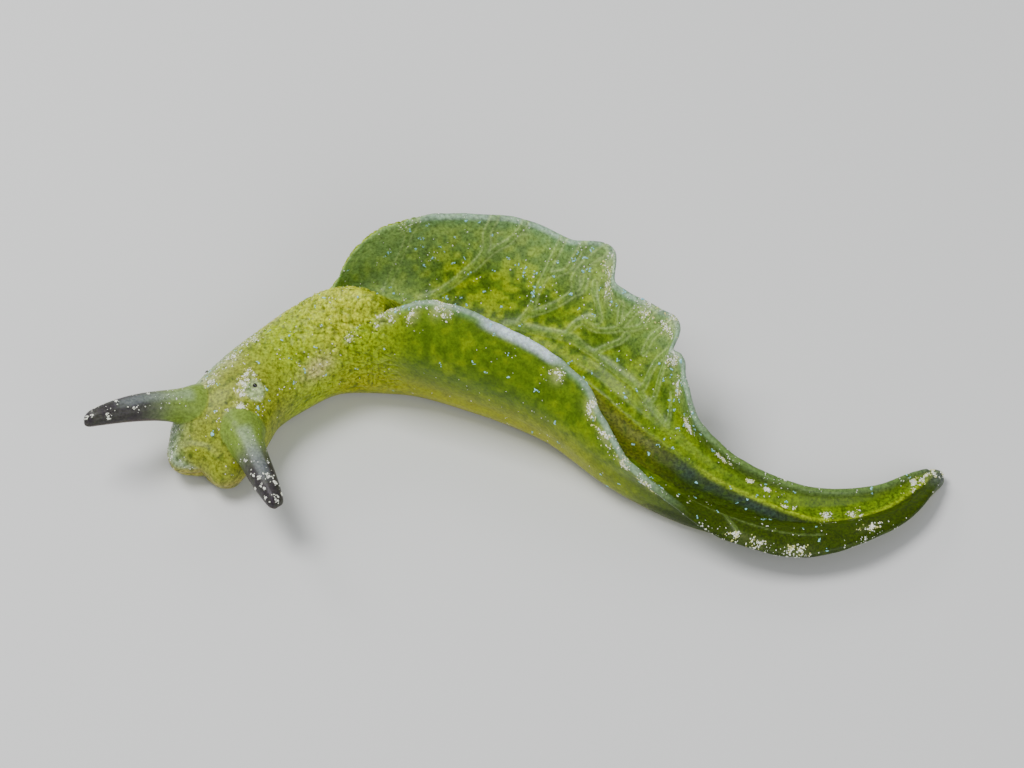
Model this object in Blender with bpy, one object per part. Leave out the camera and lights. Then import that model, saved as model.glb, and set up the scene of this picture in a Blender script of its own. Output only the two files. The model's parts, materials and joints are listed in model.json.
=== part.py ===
"""Sap-sucking sea slug, a still life-size model in crawling pose.

The sole lies on Z = 0. The body follows one curve on that plane, the midline, and every
section is drawn in the upright plane across it: u is the distance towards the animal's
right, z the height. Distances along the midline count from the tips of the mouth lobes.
All sizes are in millimetres until the meshes are made.
"""
import bisect
import math

import bmesh
import bpy
from mathutils import Matrix, Vector

MM = 0.001
GAP = 0.3

# Midline of the sole, snout to tail tip
MIDLINE = [(-13.55, -5.3), (-12.75, -3.6), (-11.9, -2.25), (-10.4, -0.75), (-8.1, 0.75), (-5.0, 0.65),
           (-1.4, -0.57), (2.3, -2.5), (5.75, -5.6), (9.4, -7.85), (13.0, -8.6), (16.6, -7.6), (19.1, -5.4)]
SNOUT = 1.2

# Body: distance from the snout, half width, height of the back
BODY = [(1.2, 1.85, 2.2), (2.0, 2.1, 2.75), (3.0, 2.17, 3.25), (5.0, 1.98, 3.65), (8.0, 2.1, 3.75),
        (10.0, 2.2, 3.65), (13.0, 2.0, 3.3), (17.0, 1.9, 3.1), (20.0, 1.85, 2.9), (23.0, 1.8, 2.7),
        (25.5, 1.75, 2.4), (28.0, 1.5, 1.95), (31.0, 1.05, 1.5), (34.0, 0.85, 1.2), (37.0, 0.7, 0.95),
        (39.0, 0.5, 0.7), (40.4, 0.22, 0.4)]
HUMP_AT, HUMP_SIDE, HUMP_LENGTH, HUMP_HALF_WIDTH, HUMP_RISE = 10.7, 0.2, 2.4, 1.3, 1.7
HUMP_STEEPNESS = 1.5
HUMP_FADE = 14.0
BODY_STATION = 0.62

# Foot: a thin flat sole with its own edge, below the body's lengths
FOOT_THICK = 0.5
FOOT = [(0.7, 0.9), (1.4, 1.35), (3.0, 1.45), (8.0, 1.45), (14.0, 1.35), (22.0, 1.2), (28.0, 0.9), (34.0, 0.55)]
FOOT_EDGE = [(0.9, 0.0), (1.0, 0.3), (0.97, 0.75), (0.86, 1.0)]
FOOT_STATION = 0.9
BODY_FLOOR = FOOT_THICK + GAP

# Where the body and the foot are divided
HEAD_END = 5.4
TAIL_TIP_START = 34.0
LENGTHS = [("neck", HEAD_END, 9.6), ("trunk_front", 9.6, 15.5), ("trunk_middle", 15.5, 21.5),
           ("trunk_rear", 21.5, 27.8), ("tail_base", 27.8, TAIL_TIP_START)]
FOOT_LENGTHS = [("foot_front", 0.7, 9.6), ("foot_middle", 9.6, 21.5), ("foot_rear", 21.5, TAIL_TIP_START)]

# Shoulder: the flat strip on the body's side that each parapodium grows from, in degrees round the section
SHOULDER_LOW, SHOULDER_HIGH = 24.0, 62.0

# Parapodium margins: distance from the snout, outward reach from the midline, height, outward bow
RIGHT_MARGIN = [(9.9, 1.7, 4.3, 0.1), (10.6, 2.1, 5.7, 0.3), (11.4, 2.8, 6.5, 0.5), (13.0, 3.4, 7.0, 0.6),
                (16.0, 4.9, 6.8, 0.4), (18.5, 5.1, 6.4, 0.3), (20.0, 5.4, 6.15, 0.2), (20.5, 4.5, 5.75, 0.5),
                (21.0, 4.3, 5.7, 0.6), (22.0, 4.45, 5.6, 0.4), (23.3, 4.55, 5.2, 0.3), (23.8, 3.8, 4.95, 0.6),
                (24.5, 3.6, 5.0, 0.6), (25.6, 2.75, 4.7, 0.5), (27.0, 1.85, 3.75, 0.35), (28.5, 1.5, 3.2, 0.25),
                (30.0, 1.25, 2.8, 0.2), (32.0, 1.15, 2.3, 0.15), (34.0, 0.98, 1.9, 0.1), (36.5, 0.8, 1.5, 0.05),
                (39.4, 0.5, 1.0, 0.0)]
LEFT_MARGIN = [(9.9, 1.35, 4.1, 0.1), (11.0, 1.25, 4.8, 0.3), (12.5, 0.9, 5.7, 0.8), (14.5, 0.5, 6.3, 1.0),
               (16.5, 0.35, 6.3, 1.0), (18.5, 0.5, 6.1, 0.9), (20.5, 0.4, 5.6, 0.9), (22.5, 0.5, 5.0, 0.8),
               (24.5, 1.1, 4.2, 0.4), (26.5, 1.9, 3.4, 0.1), (28.5, 2.2, 2.5, 0.0), (30.0, 2.5, 1.8, 0.0),
               (32.0, 2.55, 1.4, 0.0), (34.0, 2.35, 1.2, 0.0), (36.5, 1.8, 1.0, 0.0), (39.4, 0.95, 0.8, 0.0)]
PARAPODIUM_LENGTHS = [("front", 9.9, 15.5), ("middle", 15.5, 21.5), ("rear", 21.5, 27.8), ("tail", 27.8, 39.4)]
PARAPODIUM_END = {1: 36.9, -1: 38.8}
SHEET_THICK, RIM_THICK, RIM_ROUNDING, ROUNDING_SHARE = 0.62, 0.5, 0.12, 0.6
SLIM_BELOW = 1.1
ROOT_LEAVE, ROOT_TAPER = 0.35, 5.5
BEND_SHARE = 0.7

# Ruffles: place, push outward at the margin and half length of each soft fold
RUFFLES = {1: [(12.0, -0.2, 0.5), (13.2, 0.2, 0.5), (15.0, -0.25, 0.55), (17.2, 0.25, 0.6), (18.6, -0.3, 0.5),
               (19.8, 0.4, 0.45), (20.8, -0.3, 0.4), (22.7, 0.3, 0.45), (24.0, -0.35, 0.4), (25.2, 0.25, 0.5)],
           -1: [(12.0, 0.15, 0.6), (14.2, -0.15, 0.6), (17.4, 0.15, 0.7), (22.6, -0.2, 0.7), (25.6, 0.2, 0.8),
                (31.0, -0.15, 0.8), (33.2, 0.15, 0.8), (35.6, -0.12, 0.7)]}

# Vessels raised on the inner faces: distance from the snout and share of the way from root to margin
VESSELS = {1: [[(17.1, 0.1), (19.5, 0.25), (21.5, 0.21), (23.6, 0.25), (25.5, 0.08)],
               [(11.7, 0.1), (12.4, 0.58), (12.6, 0.83), (12.2, 0.95)],
               [(12.6, 0.8), (12.9, 0.96)],
               [(13.9, 0.17), (15.3, 0.67), (15.4, 0.96)],
               [(17.4, 0.15), (17.8, 0.58), (18.3, 0.95)],
               [(18.1, 0.2), (19.2, 0.62), (19.6, 0.96)],
               [(19.5, 0.25), (20.6, 0.5), (21.4, 0.64)],
               [(20.7, 0.5), (19.8, 0.8)],
               [(22.2, 0.22), (22.8, 0.6), (23.4, 0.95)],
               [(23.5, 0.25), (23.7, 0.7), (24.4, 0.95)],
               [(25.0, 0.15), (25.8, 0.6)]],
           -1: [[(28.5, 0.3), (31.0, 0.5), (33.8, 0.62)],
                [(30.0, 0.42), (30.8, 0.85)],
                [(24.0, 0.15), (25.4, 0.7)]]}
VESSEL_RISE, VESSEL_HALF_WIDTH, SHEET_REACH = 0.16, 0.2, 4.5
SHEET_STEPS, SHEET_STATION = {1: 12, -1: 9}, {1: 0.3, -1: 0.4}

# Rhinophores: rolled feelers. Each root is given by distance from the snout, outward reach and height,
# and each feeler by its length, the way it points and the bend at its tip
RHINOPHORE_ROOT_RADIUS, RHINOPHORE_TIP_RADIUS, RHINOPHORE_TAPER = 0.66, 0.36, 2.4
RHINOPHORE_ROOT = {1: (2.7, 1.45, 2.35), -1: (2.5, 1.45, 2.2)}
RHINOPHORES = {1: (5.4, (-0.87, -0.25, 0.44), (0.0, -0.35, -1.3)), -1: (4.6, (0.22, -0.95, 0.1), (0.1, 0.0, -0.1))}
GROOVE_DEPTH, GROOVE_HALF_ANGLE, GROOVE_TURN, GROOVE_START = 0.4, 20.0, -65.0, 0.28
RHINOPHORE_STATION, RHINOPHORE_SIDES = 0.33, 16
STUB_START, STUB_END = -0.9, 1.25

# Face: two rounded mouth lobes with the mouth's slit between them
LOBE_REACH, LOBE_SPREAD, LOBE_HALF_WIDTH = 0.55, 1.1, 0.7
MOUTH_SLIT_DEPTH, MOUTH_SLIT_HALF_WIDTH = 0.3, 0.25
LOBE_HEIGHT, LOBE_HALF_HEIGHT, LOBE_FADE = 1.1, 0.9, 0.8
FACE_DOME = 0.6
HEAD_STATION = 0.3
FACE_RINGS = (0.15, 0.35, 0.55, 0.73, 0.88, 0.97)

# Eyes: small balls sunk in the sides of the head, which is rolled a little towards its left
EYE_AT, EYE_ANGLE, EYE_SINK = 4.4, {1: 22.0, -1: 114.0}, 0.03
EYE_RADIUS, EYE_PIT_RADIUS = 0.14, 0.22

SMOOTH_BELOW = 50.0


def smooth_curve(knots):
    """Return a function that passes smoothly through knots of (place, value, value...)."""
    places = [knot[0] for knot in knots]
    values = [knot[1:] for knot in knots]
    count = len(values[0])
    steps = [b - a for a, b in zip(places, places[1:])]
    chords = [[(values[i + 1][k] - values[i][k]) / steps[i] for k in range(count)] for i in range(len(steps))]
    slopes = [chords[0]]
    for i in range(1, len(steps)):
        total = steps[i - 1] + steps[i]
        slopes.append([(chords[i - 1][k] * steps[i] + chords[i][k] * steps[i - 1]) / total for k in range(count)])
    slopes.append(chords[-1])

    def value_at(place):
        i = min(max(bisect.bisect_right(places, place) - 1, 0), len(steps) - 1)
        w = min(max((place - places[i]) / steps[i], 0.0), 1.0)
        start, end = (1 + 2 * w) * (1 - w) ** 2, w * w * (3 - 2 * w)
        leave, arrive = w * (1 - w) ** 2 * steps[i], w * w * (w - 1) * steps[i]
        return [start * values[i][k] + end * values[i + 1][k] + leave * slopes[i][k] + arrive * slopes[i + 1][k]
                for k in range(count)]

    return value_at


def measured_midline():
    """Return points along the midline with their distance from the snout."""
    reach, knots = SNOUT, []
    for i, (x, y) in enumerate(MIDLINE):
        if i:
            reach += math.dist(MIDLINE[i - 1], (x, y))
        knots.append((reach, x, y))
    course = smooth_curve(knots)
    points = [course(SNOUT + (reach - SNOUT) * i / 800) for i in range(801)]
    travelled = [SNOUT]
    for a, b in zip(points, points[1:]):
        travelled.append(travelled[-1] + math.dist(a, b))
    return smooth_curve([(d, *p) for d, p in zip(travelled, points)]), travelled[-1]


MIDLINE_AT, MIDLINE_END = measured_midline()
BODY_AT = smooth_curve(BODY)
FOOT_AT = smooth_curve(FOOT)
MARGIN_AT = {1: smooth_curve(RIGHT_MARGIN), -1: smooth_curve(LEFT_MARGIN)}


def section_frame(s):
    """Return the midline point at distance s, the way to the tail and the way to the right."""
    step = 0.2
    low = min(max(s - step, SNOUT), MIDLINE_END - 2 * step)
    a, b = MIDLINE_AT(low), MIDLINE_AT(low + 2 * step)
    along = Vector((b[0] - a[0], b[1] - a[1], 0.0)).normalized()
    right = Vector((-along.y, along.x, 0.0))
    x, y = MIDLINE_AT(s)
    return Vector((x, y, 0.0)), along, right


def placed(s, u, z, ahead=0.0):
    """Return the point at distance s, u to the right, z up and ahead towards the snout."""
    centre, along, right = section_frame(s)
    return centre + right * u - along * ahead + Vector((0.0, 0.0, z))


def body_point(s, degrees, floor, swell=0.0):
    """Return (u, z) on the body's section; 0 degrees is its right side and 90 the back."""
    half_width, height = BODY_AT(s)
    middle = height / 2
    turn = math.radians(degrees)
    u = (half_width + swell) * math.cos(turn)
    z = middle + (middle + swell) * math.sin(turn)
    near = ((s - HUMP_AT) / HUMP_LENGTH) ** 2 + ((u - HUMP_SIDE) / HUMP_HALF_WIDTH) ** 2
    above_shoulder = (min(degrees, 180 - degrees) - SHOULDER_HIGH) / HUMP_FADE
    z += HUMP_RISE * math.exp(-HUMP_STEEPNESS * near) * min(max(above_shoulder, 0.0), 1.0)
    return u, max(z, floor)


def round_degrees(count):
    """Return even angles round a body section."""
    return [-90 + 360 * i / count for i in range(count)]


def shouldered_degrees(steps_side, steps_top, steps_low):
    """Return the angles round a body section, with none inside either shoulder strip."""
    low = [-90 + (SHOULDER_LOW + 90) * i / (steps_low + steps_side) for i in range(steps_low + steps_side + 1)]
    top_span = 180 - 2 * SHOULDER_HIGH
    top = [SHOULDER_HIGH + top_span * i / steps_top for i in range(steps_top + 1)]
    return low + top + [180 - angle for angle in reversed(low[1:])]


def object_from(name, points, faces, material):
    """Make a closed mesh object from points in millimetres and faces that list them."""
    mesh = bpy.data.meshes.new(name)
    mesh.from_pydata([point * MM for point in points], [], faces)
    work = bmesh.new()
    work.from_mesh(mesh)
    bmesh.ops.recalc_face_normals(work, faces=work.faces)
    work.to_mesh(mesh)
    work.free()
    mesh.materials.append(material)
    mesh.shade_smooth()
    mesh.set_sharp_from_angle(angle=math.radians(SMOOTH_BELOW))
    piece = bpy.data.objects.new(name, mesh)
    bpy.context.scene.collection.objects.link(piece)
    return piece


def lofted(name, rings, material):
    """Make a closed solid through rings of points, with a flat cap on each end ring."""
    count = len(rings[0])
    points = [point for ring in rings for point in ring]
    faces = []
    for i in range(len(rings) - 1):
        for j in range(count):
            a, b = i * count + j, i * count + (j + 1) % count
            faces += [(a, b, b + count), (a, b + count, a + count)]
    for first in (0, len(points) - count):
        middle = sum(points[first:first + count], Vector()) / count
        points.append(middle)
        faces += [(first + j, first + (j + 1) % count, len(points) - 1) for j in range(count)]
    return object_from(name, points, faces, material)


def stations(start, end, step):
    """Return evenly spaced distances from start to end, about step apart."""
    count = max(2, round((end - start) / step))
    return [start + (end - start) * i / count for i in range(count + 1)]


def make_length(name, start, end, material):
    """Make one length of the body above the foot."""
    degrees = round_degrees(28) if name == "neck" else shouldered_degrees(3, 8, 4)
    rings = []
    for s in stations(start + GAP / 2, end - GAP / 2, BODY_STATION):
        rings.append([placed(s, *body_point(s, angle, BODY_FLOOR)) for angle in degrees])
    return lofted(name, rings, material)


def make_tail_tip(material):
    """Make the last length of the tail, which lies on the floor itself."""
    degrees = shouldered_degrees(2, 6, 4)
    rings = []
    for s in stations(TAIL_TIP_START + GAP / 2, MIDLINE_END, BODY_STATION):
        rings.append([placed(s, *body_point(s, angle, 0.0)) for angle in degrees])
    return lofted("tail_tip", rings, material)


def make_foot(name, start, end, material):
    """Make one length of the sole, with a rounded edge."""
    rings = []
    for s in stations(start + GAP / 2, end - GAP / 2, FOOT_STATION):
        half_width = FOOT_AT(s)[0]
        upper = [(u * half_width, z * FOOT_THICK) for u, z in FOOT_EDGE]
        mirrored = [(-u, z) for u, z in reversed(upper)]
        rings.append([placed(s, u, z) for u, z in upper + mirrored])
    return lofted(name, rings, material)


def head_point(s, degrees, shrink=1.0):
    """Return a point of the head, with two mouth lobes and the slit between them."""
    u, z = body_point(s, degrees, BODY_FLOOR)
    middle = BODY_AT(s)[1] / 2
    u, z = u * shrink, max(BODY_FLOOR, middle + (z - middle) * shrink)
    fade = math.exp(-(s - SNOUT) / LOBE_FADE)
    low = math.exp(-((z - LOBE_HEIGHT) / LOBE_HALF_HEIGHT) ** 2)
    lobe = LOBE_REACH * math.exp(-((abs(u) - LOBE_SPREAD) / LOBE_HALF_WIDTH) ** 2)
    slit = MOUTH_SLIT_DEPTH * math.exp(-(u / MOUTH_SLIT_HALF_WIDTH) ** 2)
    dome = FACE_DOME * math.sqrt(1 - shrink ** 2)
    return placed(s, u, z, ahead=dome + fade * low * (lobe - slit))


def make_head(material):
    """Make the head with its lobes, mouth slit, rhinophore stubs and eye pits."""
    degrees = round_degrees(36)
    rings = [[head_point(SNOUT, angle, shrink) for angle in degrees] for shrink in FACE_RINGS]
    for s in stations(SNOUT, HEAD_END - GAP / 2, HEAD_STATION):
        rings.append([head_point(s, angle) for angle in degrees])
    head = lofted("head", rings, material)
    for side in (1, -1):
        stub = rhinophore_stub(side, material)
        combine(head, stub, "UNION")
        pit = ball("pit", eye_centre(side), EYE_PIT_RADIUS, material)
        combine(head, pit, "DIFFERENCE")
    return head


def combine(piece, other, operation):
    """Add other to piece or cut it away, and remove other."""
    modifier = piece.modifiers.new(operation, "BOOLEAN")
    modifier.operation = operation
    modifier.solver = "EXACT"
    modifier.object = other
    graph = bpy.context.evaluated_depsgraph_get()
    mesh = bpy.data.meshes.new_from_object(piece.evaluated_get(graph))
    piece.modifiers.clear()
    piece.data = mesh
    bpy.data.objects.remove(other)


def rhinophore_ring(side, reach):
    """Return the ring of a rhinophore at reach from its root: a round tube with a groove along it."""
    length, aim, tip_bend = RHINOPHORES[side]
    at, out, up = RHINOPHORE_ROOT[side]
    way = Vector(aim).normalized()
    part = reach / length
    centre = placed(at, side * out, up) + way * reach + Vector(tip_bend) * part * part
    level = way.cross(Vector((0, 0, 1))).normalized()
    rise = level.cross(way)
    taper = max(part, 0.0) ** RHINOPHORE_TAPER
    width = RHINOPHORE_ROOT_RADIUS + (RHINOPHORE_TIP_RADIUS - RHINOPHORE_ROOT_RADIUS) * taper
    depth = GROOVE_DEPTH * min(max((part - GROOVE_START) * 5, 0.0), 1.0)
    ring = []
    for i in range(RHINOPHORE_SIDES):
        turn = 360 * i / RHINOPHORE_SIDES
        off = (turn - GROOVE_TURN + 180) % 360 - 180
        radius = width * (1 - depth * math.exp(-(off / GROOVE_HALF_ANGLE) ** 2))
        turn = math.radians(turn)
        ring.append(centre + level * math.cos(turn) * radius * side + rise * math.sin(turn) * radius)
    return ring


def rhinophore_stub(side, material):
    """Make the short root of a rhinophore that belongs to the head."""
    rings = [rhinophore_ring(side, reach) for reach in stations(STUB_START, STUB_END - GAP, RHINOPHORE_STATION)]
    return lofted("stub", rings, material)


def make_rhinophore(name, side, material):
    """Make a rhinophore beyond its stub, with a rounded tip."""
    length = RHINOPHORES[side][0]
    rings = [rhinophore_ring(side, reach) for reach in stations(STUB_END, length - 0.2, RHINOPHORE_STATION)]
    last = rhinophore_ring(side, length)
    middle = sum(last, Vector()) / len(last)
    rings.append([middle + (point - middle) * 0.55 for point in last])
    return lofted(name, rings, material)


def ball(name, centre, radius, material):
    """Make a small ball."""
    work = bmesh.new()
    bmesh.ops.create_icosphere(work, subdivisions=2, radius=radius)
    points = [vertex.co + centre for vertex in work.verts]
    faces = [[vertex.index for vertex in face.verts] for face in work.faces]
    work.free()
    return object_from(name, points, faces, material)


def eye_centre(side):
    """Return the middle of an eye, on the skin of the head."""
    return placed(EYE_AT, *body_point(EYE_AT, EYE_ANGLE[side], BODY_FLOOR, swell=-EYE_SINK))


def shoulder(side, s, clear):
    """Return the two root corners of a parapodium, clear of the body, outer one first."""
    corners = []
    for angle in (SHOULDER_LOW, SHOULDER_HIGH):
        u, z = body_point(s, angle, 0.0)
        corners.append(Vector((u, z)))
    strip = corners[1] - corners[0]
    normal = Vector((strip.y, -strip.x)).normalized()
    return [corner + normal * clear for corner in corners], normal


def ruffle(side, s):
    """Return how far the margin is pushed outward at distance s."""
    return sum(push * math.exp(-((s - at) / half) ** 2) for at, push, half in RUFFLES[side])


def vessel_rise(side, s, v):
    """Return how far the inner face is raised over the nearest vessel."""
    nearest = 10.0
    spot = Vector((s, v * SHEET_REACH))
    for vessel in VESSELS[side]:
        course = [Vector((at, share * SHEET_REACH)) for at, share in vessel]
        for start, end in zip(course, course[1:]):
            run = end - start
            share = min(max((spot - start).dot(run) / run.length_squared, 0.0), 1.0)
            nearest = min(nearest, (spot - start - run * share).length)
    return VESSEL_RISE * math.exp(-(nearest / VESSEL_HALF_WIDTH) ** 2)


def tightest_bend(root, control, margin, steps, inward):
    """Return the smallest radius with which a sheet's section turns to one of its sides."""
    swerve = (margin - control * 2 + root) * 2 * (1 if inward else -1)
    sharpest = 0.01
    for i in range(steps + 1):
        v = i / steps
        way = (control - root) * 2 * (1 - v) + (margin - control) * 2 * v
        sharpest = max(sharpest, (way.x * swerve.y - way.y * swerve.x) / way.length ** 3)
    return 1 / sharpest


def sheet_section(side, s, steps):
    """Return the outer and inner faces of a parapodium's section, from root to margin."""
    (outer, inner), normal = shoulder(side, s, GAP)
    reach, height, bow = MARGIN_AT[side](s)
    root, margin = (outer + inner) / 2, Vector((reach, height))
    span = margin - root
    lift = Vector((span.y, -span.x)).normalized()
    control = root + normal * ROOT_LEAVE * span.length + lift * bow
    thickest_in = BEND_SHARE * tightest_bend(root, control, margin, steps, True)
    thickest_out = BEND_SHARE * tightest_bend(root, control, margin, steps, False)
    fold = ruffle(side, s)
    root_half = (inner - outer).length / 2
    slim = min(BODY_AT(s)[1] / SLIM_BELOW, 1.0)
    sheet_half = slim * SHEET_THICK / 2
    rim_half = slim * RIM_THICK / 2
    outer_face, inner_face = [], []
    for i in range(steps + 1):
        v = i / steps
        middle = root * (1 - v) ** 2 + control * 2 * v * (1 - v) + margin * v * v
        middle += lift * fold * v * v
        way = (control - root) * 2 * (1 - v) + (margin - control) * 2 * v
        way.normalize()
        side_way = Vector((way.y, -way.x))
        blend = math.exp(-ROOT_TAPER * v)
        half = root_half * blend + (sheet_half + (rim_half - sheet_half) * v) * (1 - blend)
        inner_half = min(half + vessel_rise(side, s, v), thickest_in)
        if i == 0:
            outer_face.append(outer)
            inner_face.append(inner)
            continue
        outer_face.append(middle + side_way * min(half, thickest_out))
        inner_face.append(middle - side_way * inner_half)
    tip_way = (margin - control).normalized()
    rounding = min(RIM_ROUNDING, ROUNDING_SHARE * span.length / steps)
    outer_face[-1] = outer_face[-1] - tip_way * rounding
    inner_face[-1] = inner_face[-1] - tip_way * rounding
    return outer_face, inner_face, margin + lift * fold


def make_parapodium(name, side, start, end, material):
    """Make one length of a parapodium as a thin sheet with flat ends."""
    steps = SHEET_STEPS[side]
    places = stations(start + GAP / 2, end - GAP / 2, SHEET_STATION[side])
    points = []
    for s in places:
        outer, inner, margin = sheet_section(side, s, steps)
        for u, z in outer + [margin] + list(reversed(inner)):
            points.append(placed(s, side * u, z))
    count = 2 * steps + 3
    faces = []
    for i in range(len(places) - 1):
        for j in range(count):
            a, b = i * count + j, i * count + (j + 1) % count
            if j <= steps:
                faces += [(a, b, b + count), (a, b + count, a + count)]
            else:
                faces += [(a, b, a + count), (b, b + count, a + count)]
    for first in (0, len(points) - count):
        for j in range(steps):
            a, b = first + j, first + count - 1 - j
            faces += [(a, a + 1, b - 1), (a, b - 1, b)]
        faces.append((first + steps, first + steps + 1, first + steps + 2))
    return object_from(name, points, faces, material)


def centre_on_origin(pieces):
    """Move every piece so that the origin is under the middle of the whole box."""
    corners = [vertex.co for piece in pieces for vertex in piece.data.vertices]
    middle = Vector([(min(c[k] for c in corners) + max(c[k] for c in corners)) / 2 for k in (0, 1)] + [0.0])
    for piece in pieces:
        piece.data.transform(Matrix.Translation(-middle))
    return middle


def flesh(name, colour, roughness=0.35):
    """Make the material of one kind of skin."""
    material = bpy.data.materials.new(name)
    material.use_nodes = True
    shader = material.node_tree.nodes["Principled BSDF"]
    shader.inputs["Base Color"].default_value = (*colour, 1.0)
    shader.inputs["Roughness"].default_value = roughness
    shader.inputs["Metallic"].default_value = 0.0
    return material


def build():
    """Make every named piece of the slug."""
    for old in list(bpy.data.objects):
        bpy.data.objects.remove(old)
    skin = flesh("green_skin", (0.16, 0.25, 0.02))
    head_skin = flesh("head_skin", (0.22, 0.27, 0.03))
    sole = flesh("sole_skin", (0.3, 0.32, 0.1))
    inner = flesh("parapodium_skin", (0.1, 0.2, 0.03))
    feeler = flesh("rhinophore_skin", (0.1, 0.09, 0.1))
    eye = flesh("eye_black", (0.005, 0.005, 0.006), roughness=0.1)

    make_head(head_skin)
    for name, start, end in LENGTHS:
        make_length(name, start, end, skin)
    make_tail_tip(skin)
    for name, start, end in FOOT_LENGTHS:
        make_foot(name, start, end, sole)
    for side_name, side in (("right", 1), ("left", -1)):
        for part_name, start, end in PARAPODIUM_LENGTHS:
            end = min(end, PARAPODIUM_END[side])
            make_parapodium(f"parapodium_{side_name}_{part_name}", side, start, end, inner)
    make_rhinophore("rhinophore_right", 1, feeler)
    make_rhinophore("rhinophore_left", -1, feeler)
    ball("eye_right", eye_centre(1), EYE_RADIUS, eye)
    ball("eye_left", eye_centre(-1), EYE_RADIUS, eye)
    return centre_on_origin([piece for piece in bpy.context.scene.objects if piece.type == "MESH"])


MIDDLE = build()
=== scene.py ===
"""Looks of the sap-sucking sea slug.

One skin is drawn round the whole animal from the same named sizes as its CAD part, in
millimetres on the part's own midline, and is then moved to the frame's origin. Each point of
the skin knows where it lies: a distance along the midline, and either an angle round the body
or a share of the way from a flap's root to its margin. Its colour, its granules and its dots
are worked out from that place.
"""
import json
import math

import bpy
import numpy as np
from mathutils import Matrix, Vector
from mathutils.bvhtree import BVHTree

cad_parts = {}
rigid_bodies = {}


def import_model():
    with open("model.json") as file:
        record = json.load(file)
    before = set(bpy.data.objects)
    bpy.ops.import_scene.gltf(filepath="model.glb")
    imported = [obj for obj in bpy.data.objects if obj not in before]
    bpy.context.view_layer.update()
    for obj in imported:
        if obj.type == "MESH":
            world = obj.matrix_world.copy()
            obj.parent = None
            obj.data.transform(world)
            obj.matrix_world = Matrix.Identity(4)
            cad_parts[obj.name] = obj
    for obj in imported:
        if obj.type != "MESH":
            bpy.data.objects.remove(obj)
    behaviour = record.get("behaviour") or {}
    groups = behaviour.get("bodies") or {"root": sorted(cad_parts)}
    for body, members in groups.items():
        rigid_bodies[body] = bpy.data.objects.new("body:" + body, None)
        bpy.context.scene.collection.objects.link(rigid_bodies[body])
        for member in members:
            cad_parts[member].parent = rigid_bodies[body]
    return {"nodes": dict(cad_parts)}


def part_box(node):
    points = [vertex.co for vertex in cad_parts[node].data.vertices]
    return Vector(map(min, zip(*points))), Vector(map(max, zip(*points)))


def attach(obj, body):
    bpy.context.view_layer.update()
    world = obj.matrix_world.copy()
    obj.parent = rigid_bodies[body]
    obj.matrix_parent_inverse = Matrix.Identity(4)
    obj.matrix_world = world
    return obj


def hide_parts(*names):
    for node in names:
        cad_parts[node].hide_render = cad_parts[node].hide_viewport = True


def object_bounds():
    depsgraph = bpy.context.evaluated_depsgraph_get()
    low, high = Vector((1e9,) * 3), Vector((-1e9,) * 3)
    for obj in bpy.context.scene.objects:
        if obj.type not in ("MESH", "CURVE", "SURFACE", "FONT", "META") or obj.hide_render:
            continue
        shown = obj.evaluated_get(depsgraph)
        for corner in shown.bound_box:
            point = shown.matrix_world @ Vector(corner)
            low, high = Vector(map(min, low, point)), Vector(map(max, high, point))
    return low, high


MM = 0.001

# Forms shared with the CAD part
MIDLINE = [(-13.55, -5.3), (-12.75, -3.6), (-11.9, -2.25), (-10.4, -0.75), (-8.1, 0.75), (-5.0, 0.65),
           (-1.4, -0.57), (2.3, -2.5), (5.75, -5.6), (9.4, -7.85), (13.0, -8.6), (16.6, -7.6), (19.1, -5.4)]
SNOUT = 1.2
FRAME_STEP = 0.2
BODY = [
    (1.2, 1.85, 2.2), (2.0, 2.1, 2.75), (3.0, 2.17, 3.25), (5.0, 1.98, 3.65), (8.0, 2.1, 3.75),
    (10.0, 2.2, 3.65), (13.0, 2.0, 3.3), (17.0, 1.9, 3.1), (20.0, 1.85, 2.9), (23.0, 1.8, 2.7),
    (25.5, 1.75, 2.4), (28.0, 1.5, 1.95), (31.0, 1.05, 1.5), (34.0, 0.85, 1.2), (37.0, 0.7, 0.95),
    (39.0, 0.55, 0.75), (40.4, 0.4, 0.62)]
HUMP_AT, HUMP_SIDE, HUMP_LENGTH, HUMP_HALF_WIDTH, HUMP_RISE, HUMP_STEEPNESS = 10.7, 0.2, 2.4, 1.3, 1.7, 1.5
SHOULDER_LOW, SHOULDER_HIGH = 24.0, 62.0
RIGHT_MARGIN = [
    (8.8, 1.4, 2.9, 0.0), (9.9, 1.7, 3.85, 0.1), (10.5, 2.1, 5.5, 0.3), (11.4, 2.8, 6.5, 0.5),
    (13.0, 3.4, 7.0, 0.6), (16.0, 4.9, 6.8, 0.4), (18.5, 5.1, 6.4, 0.3), (20.0, 5.4, 6.15, 0.2),
    (20.5, 4.5, 5.75, 0.5), (21.0, 4.3, 5.7, 0.6), (22.0, 4.45, 5.6, 0.4), (23.3, 4.55, 5.2, 0.3),
    (23.8, 3.8, 4.95, 0.6), (24.5, 3.6, 5.0, 0.6), (25.6, 2.75, 4.7, 0.5), (27.0, 1.85, 3.75, 0.35),
    (28.5, 1.5, 3.2, 0.25), (30.0, 1.25, 2.8, 0.2), (32.0, 1.15, 2.3, 0.15), (34.0, 0.98, 1.9, 0.1),
    (36.5, 0.8, 1.5, 0.05), (39.2, 0.56, 1.0, 0.0), (40.0, 0.42, 0.68, 0.0)]
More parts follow.
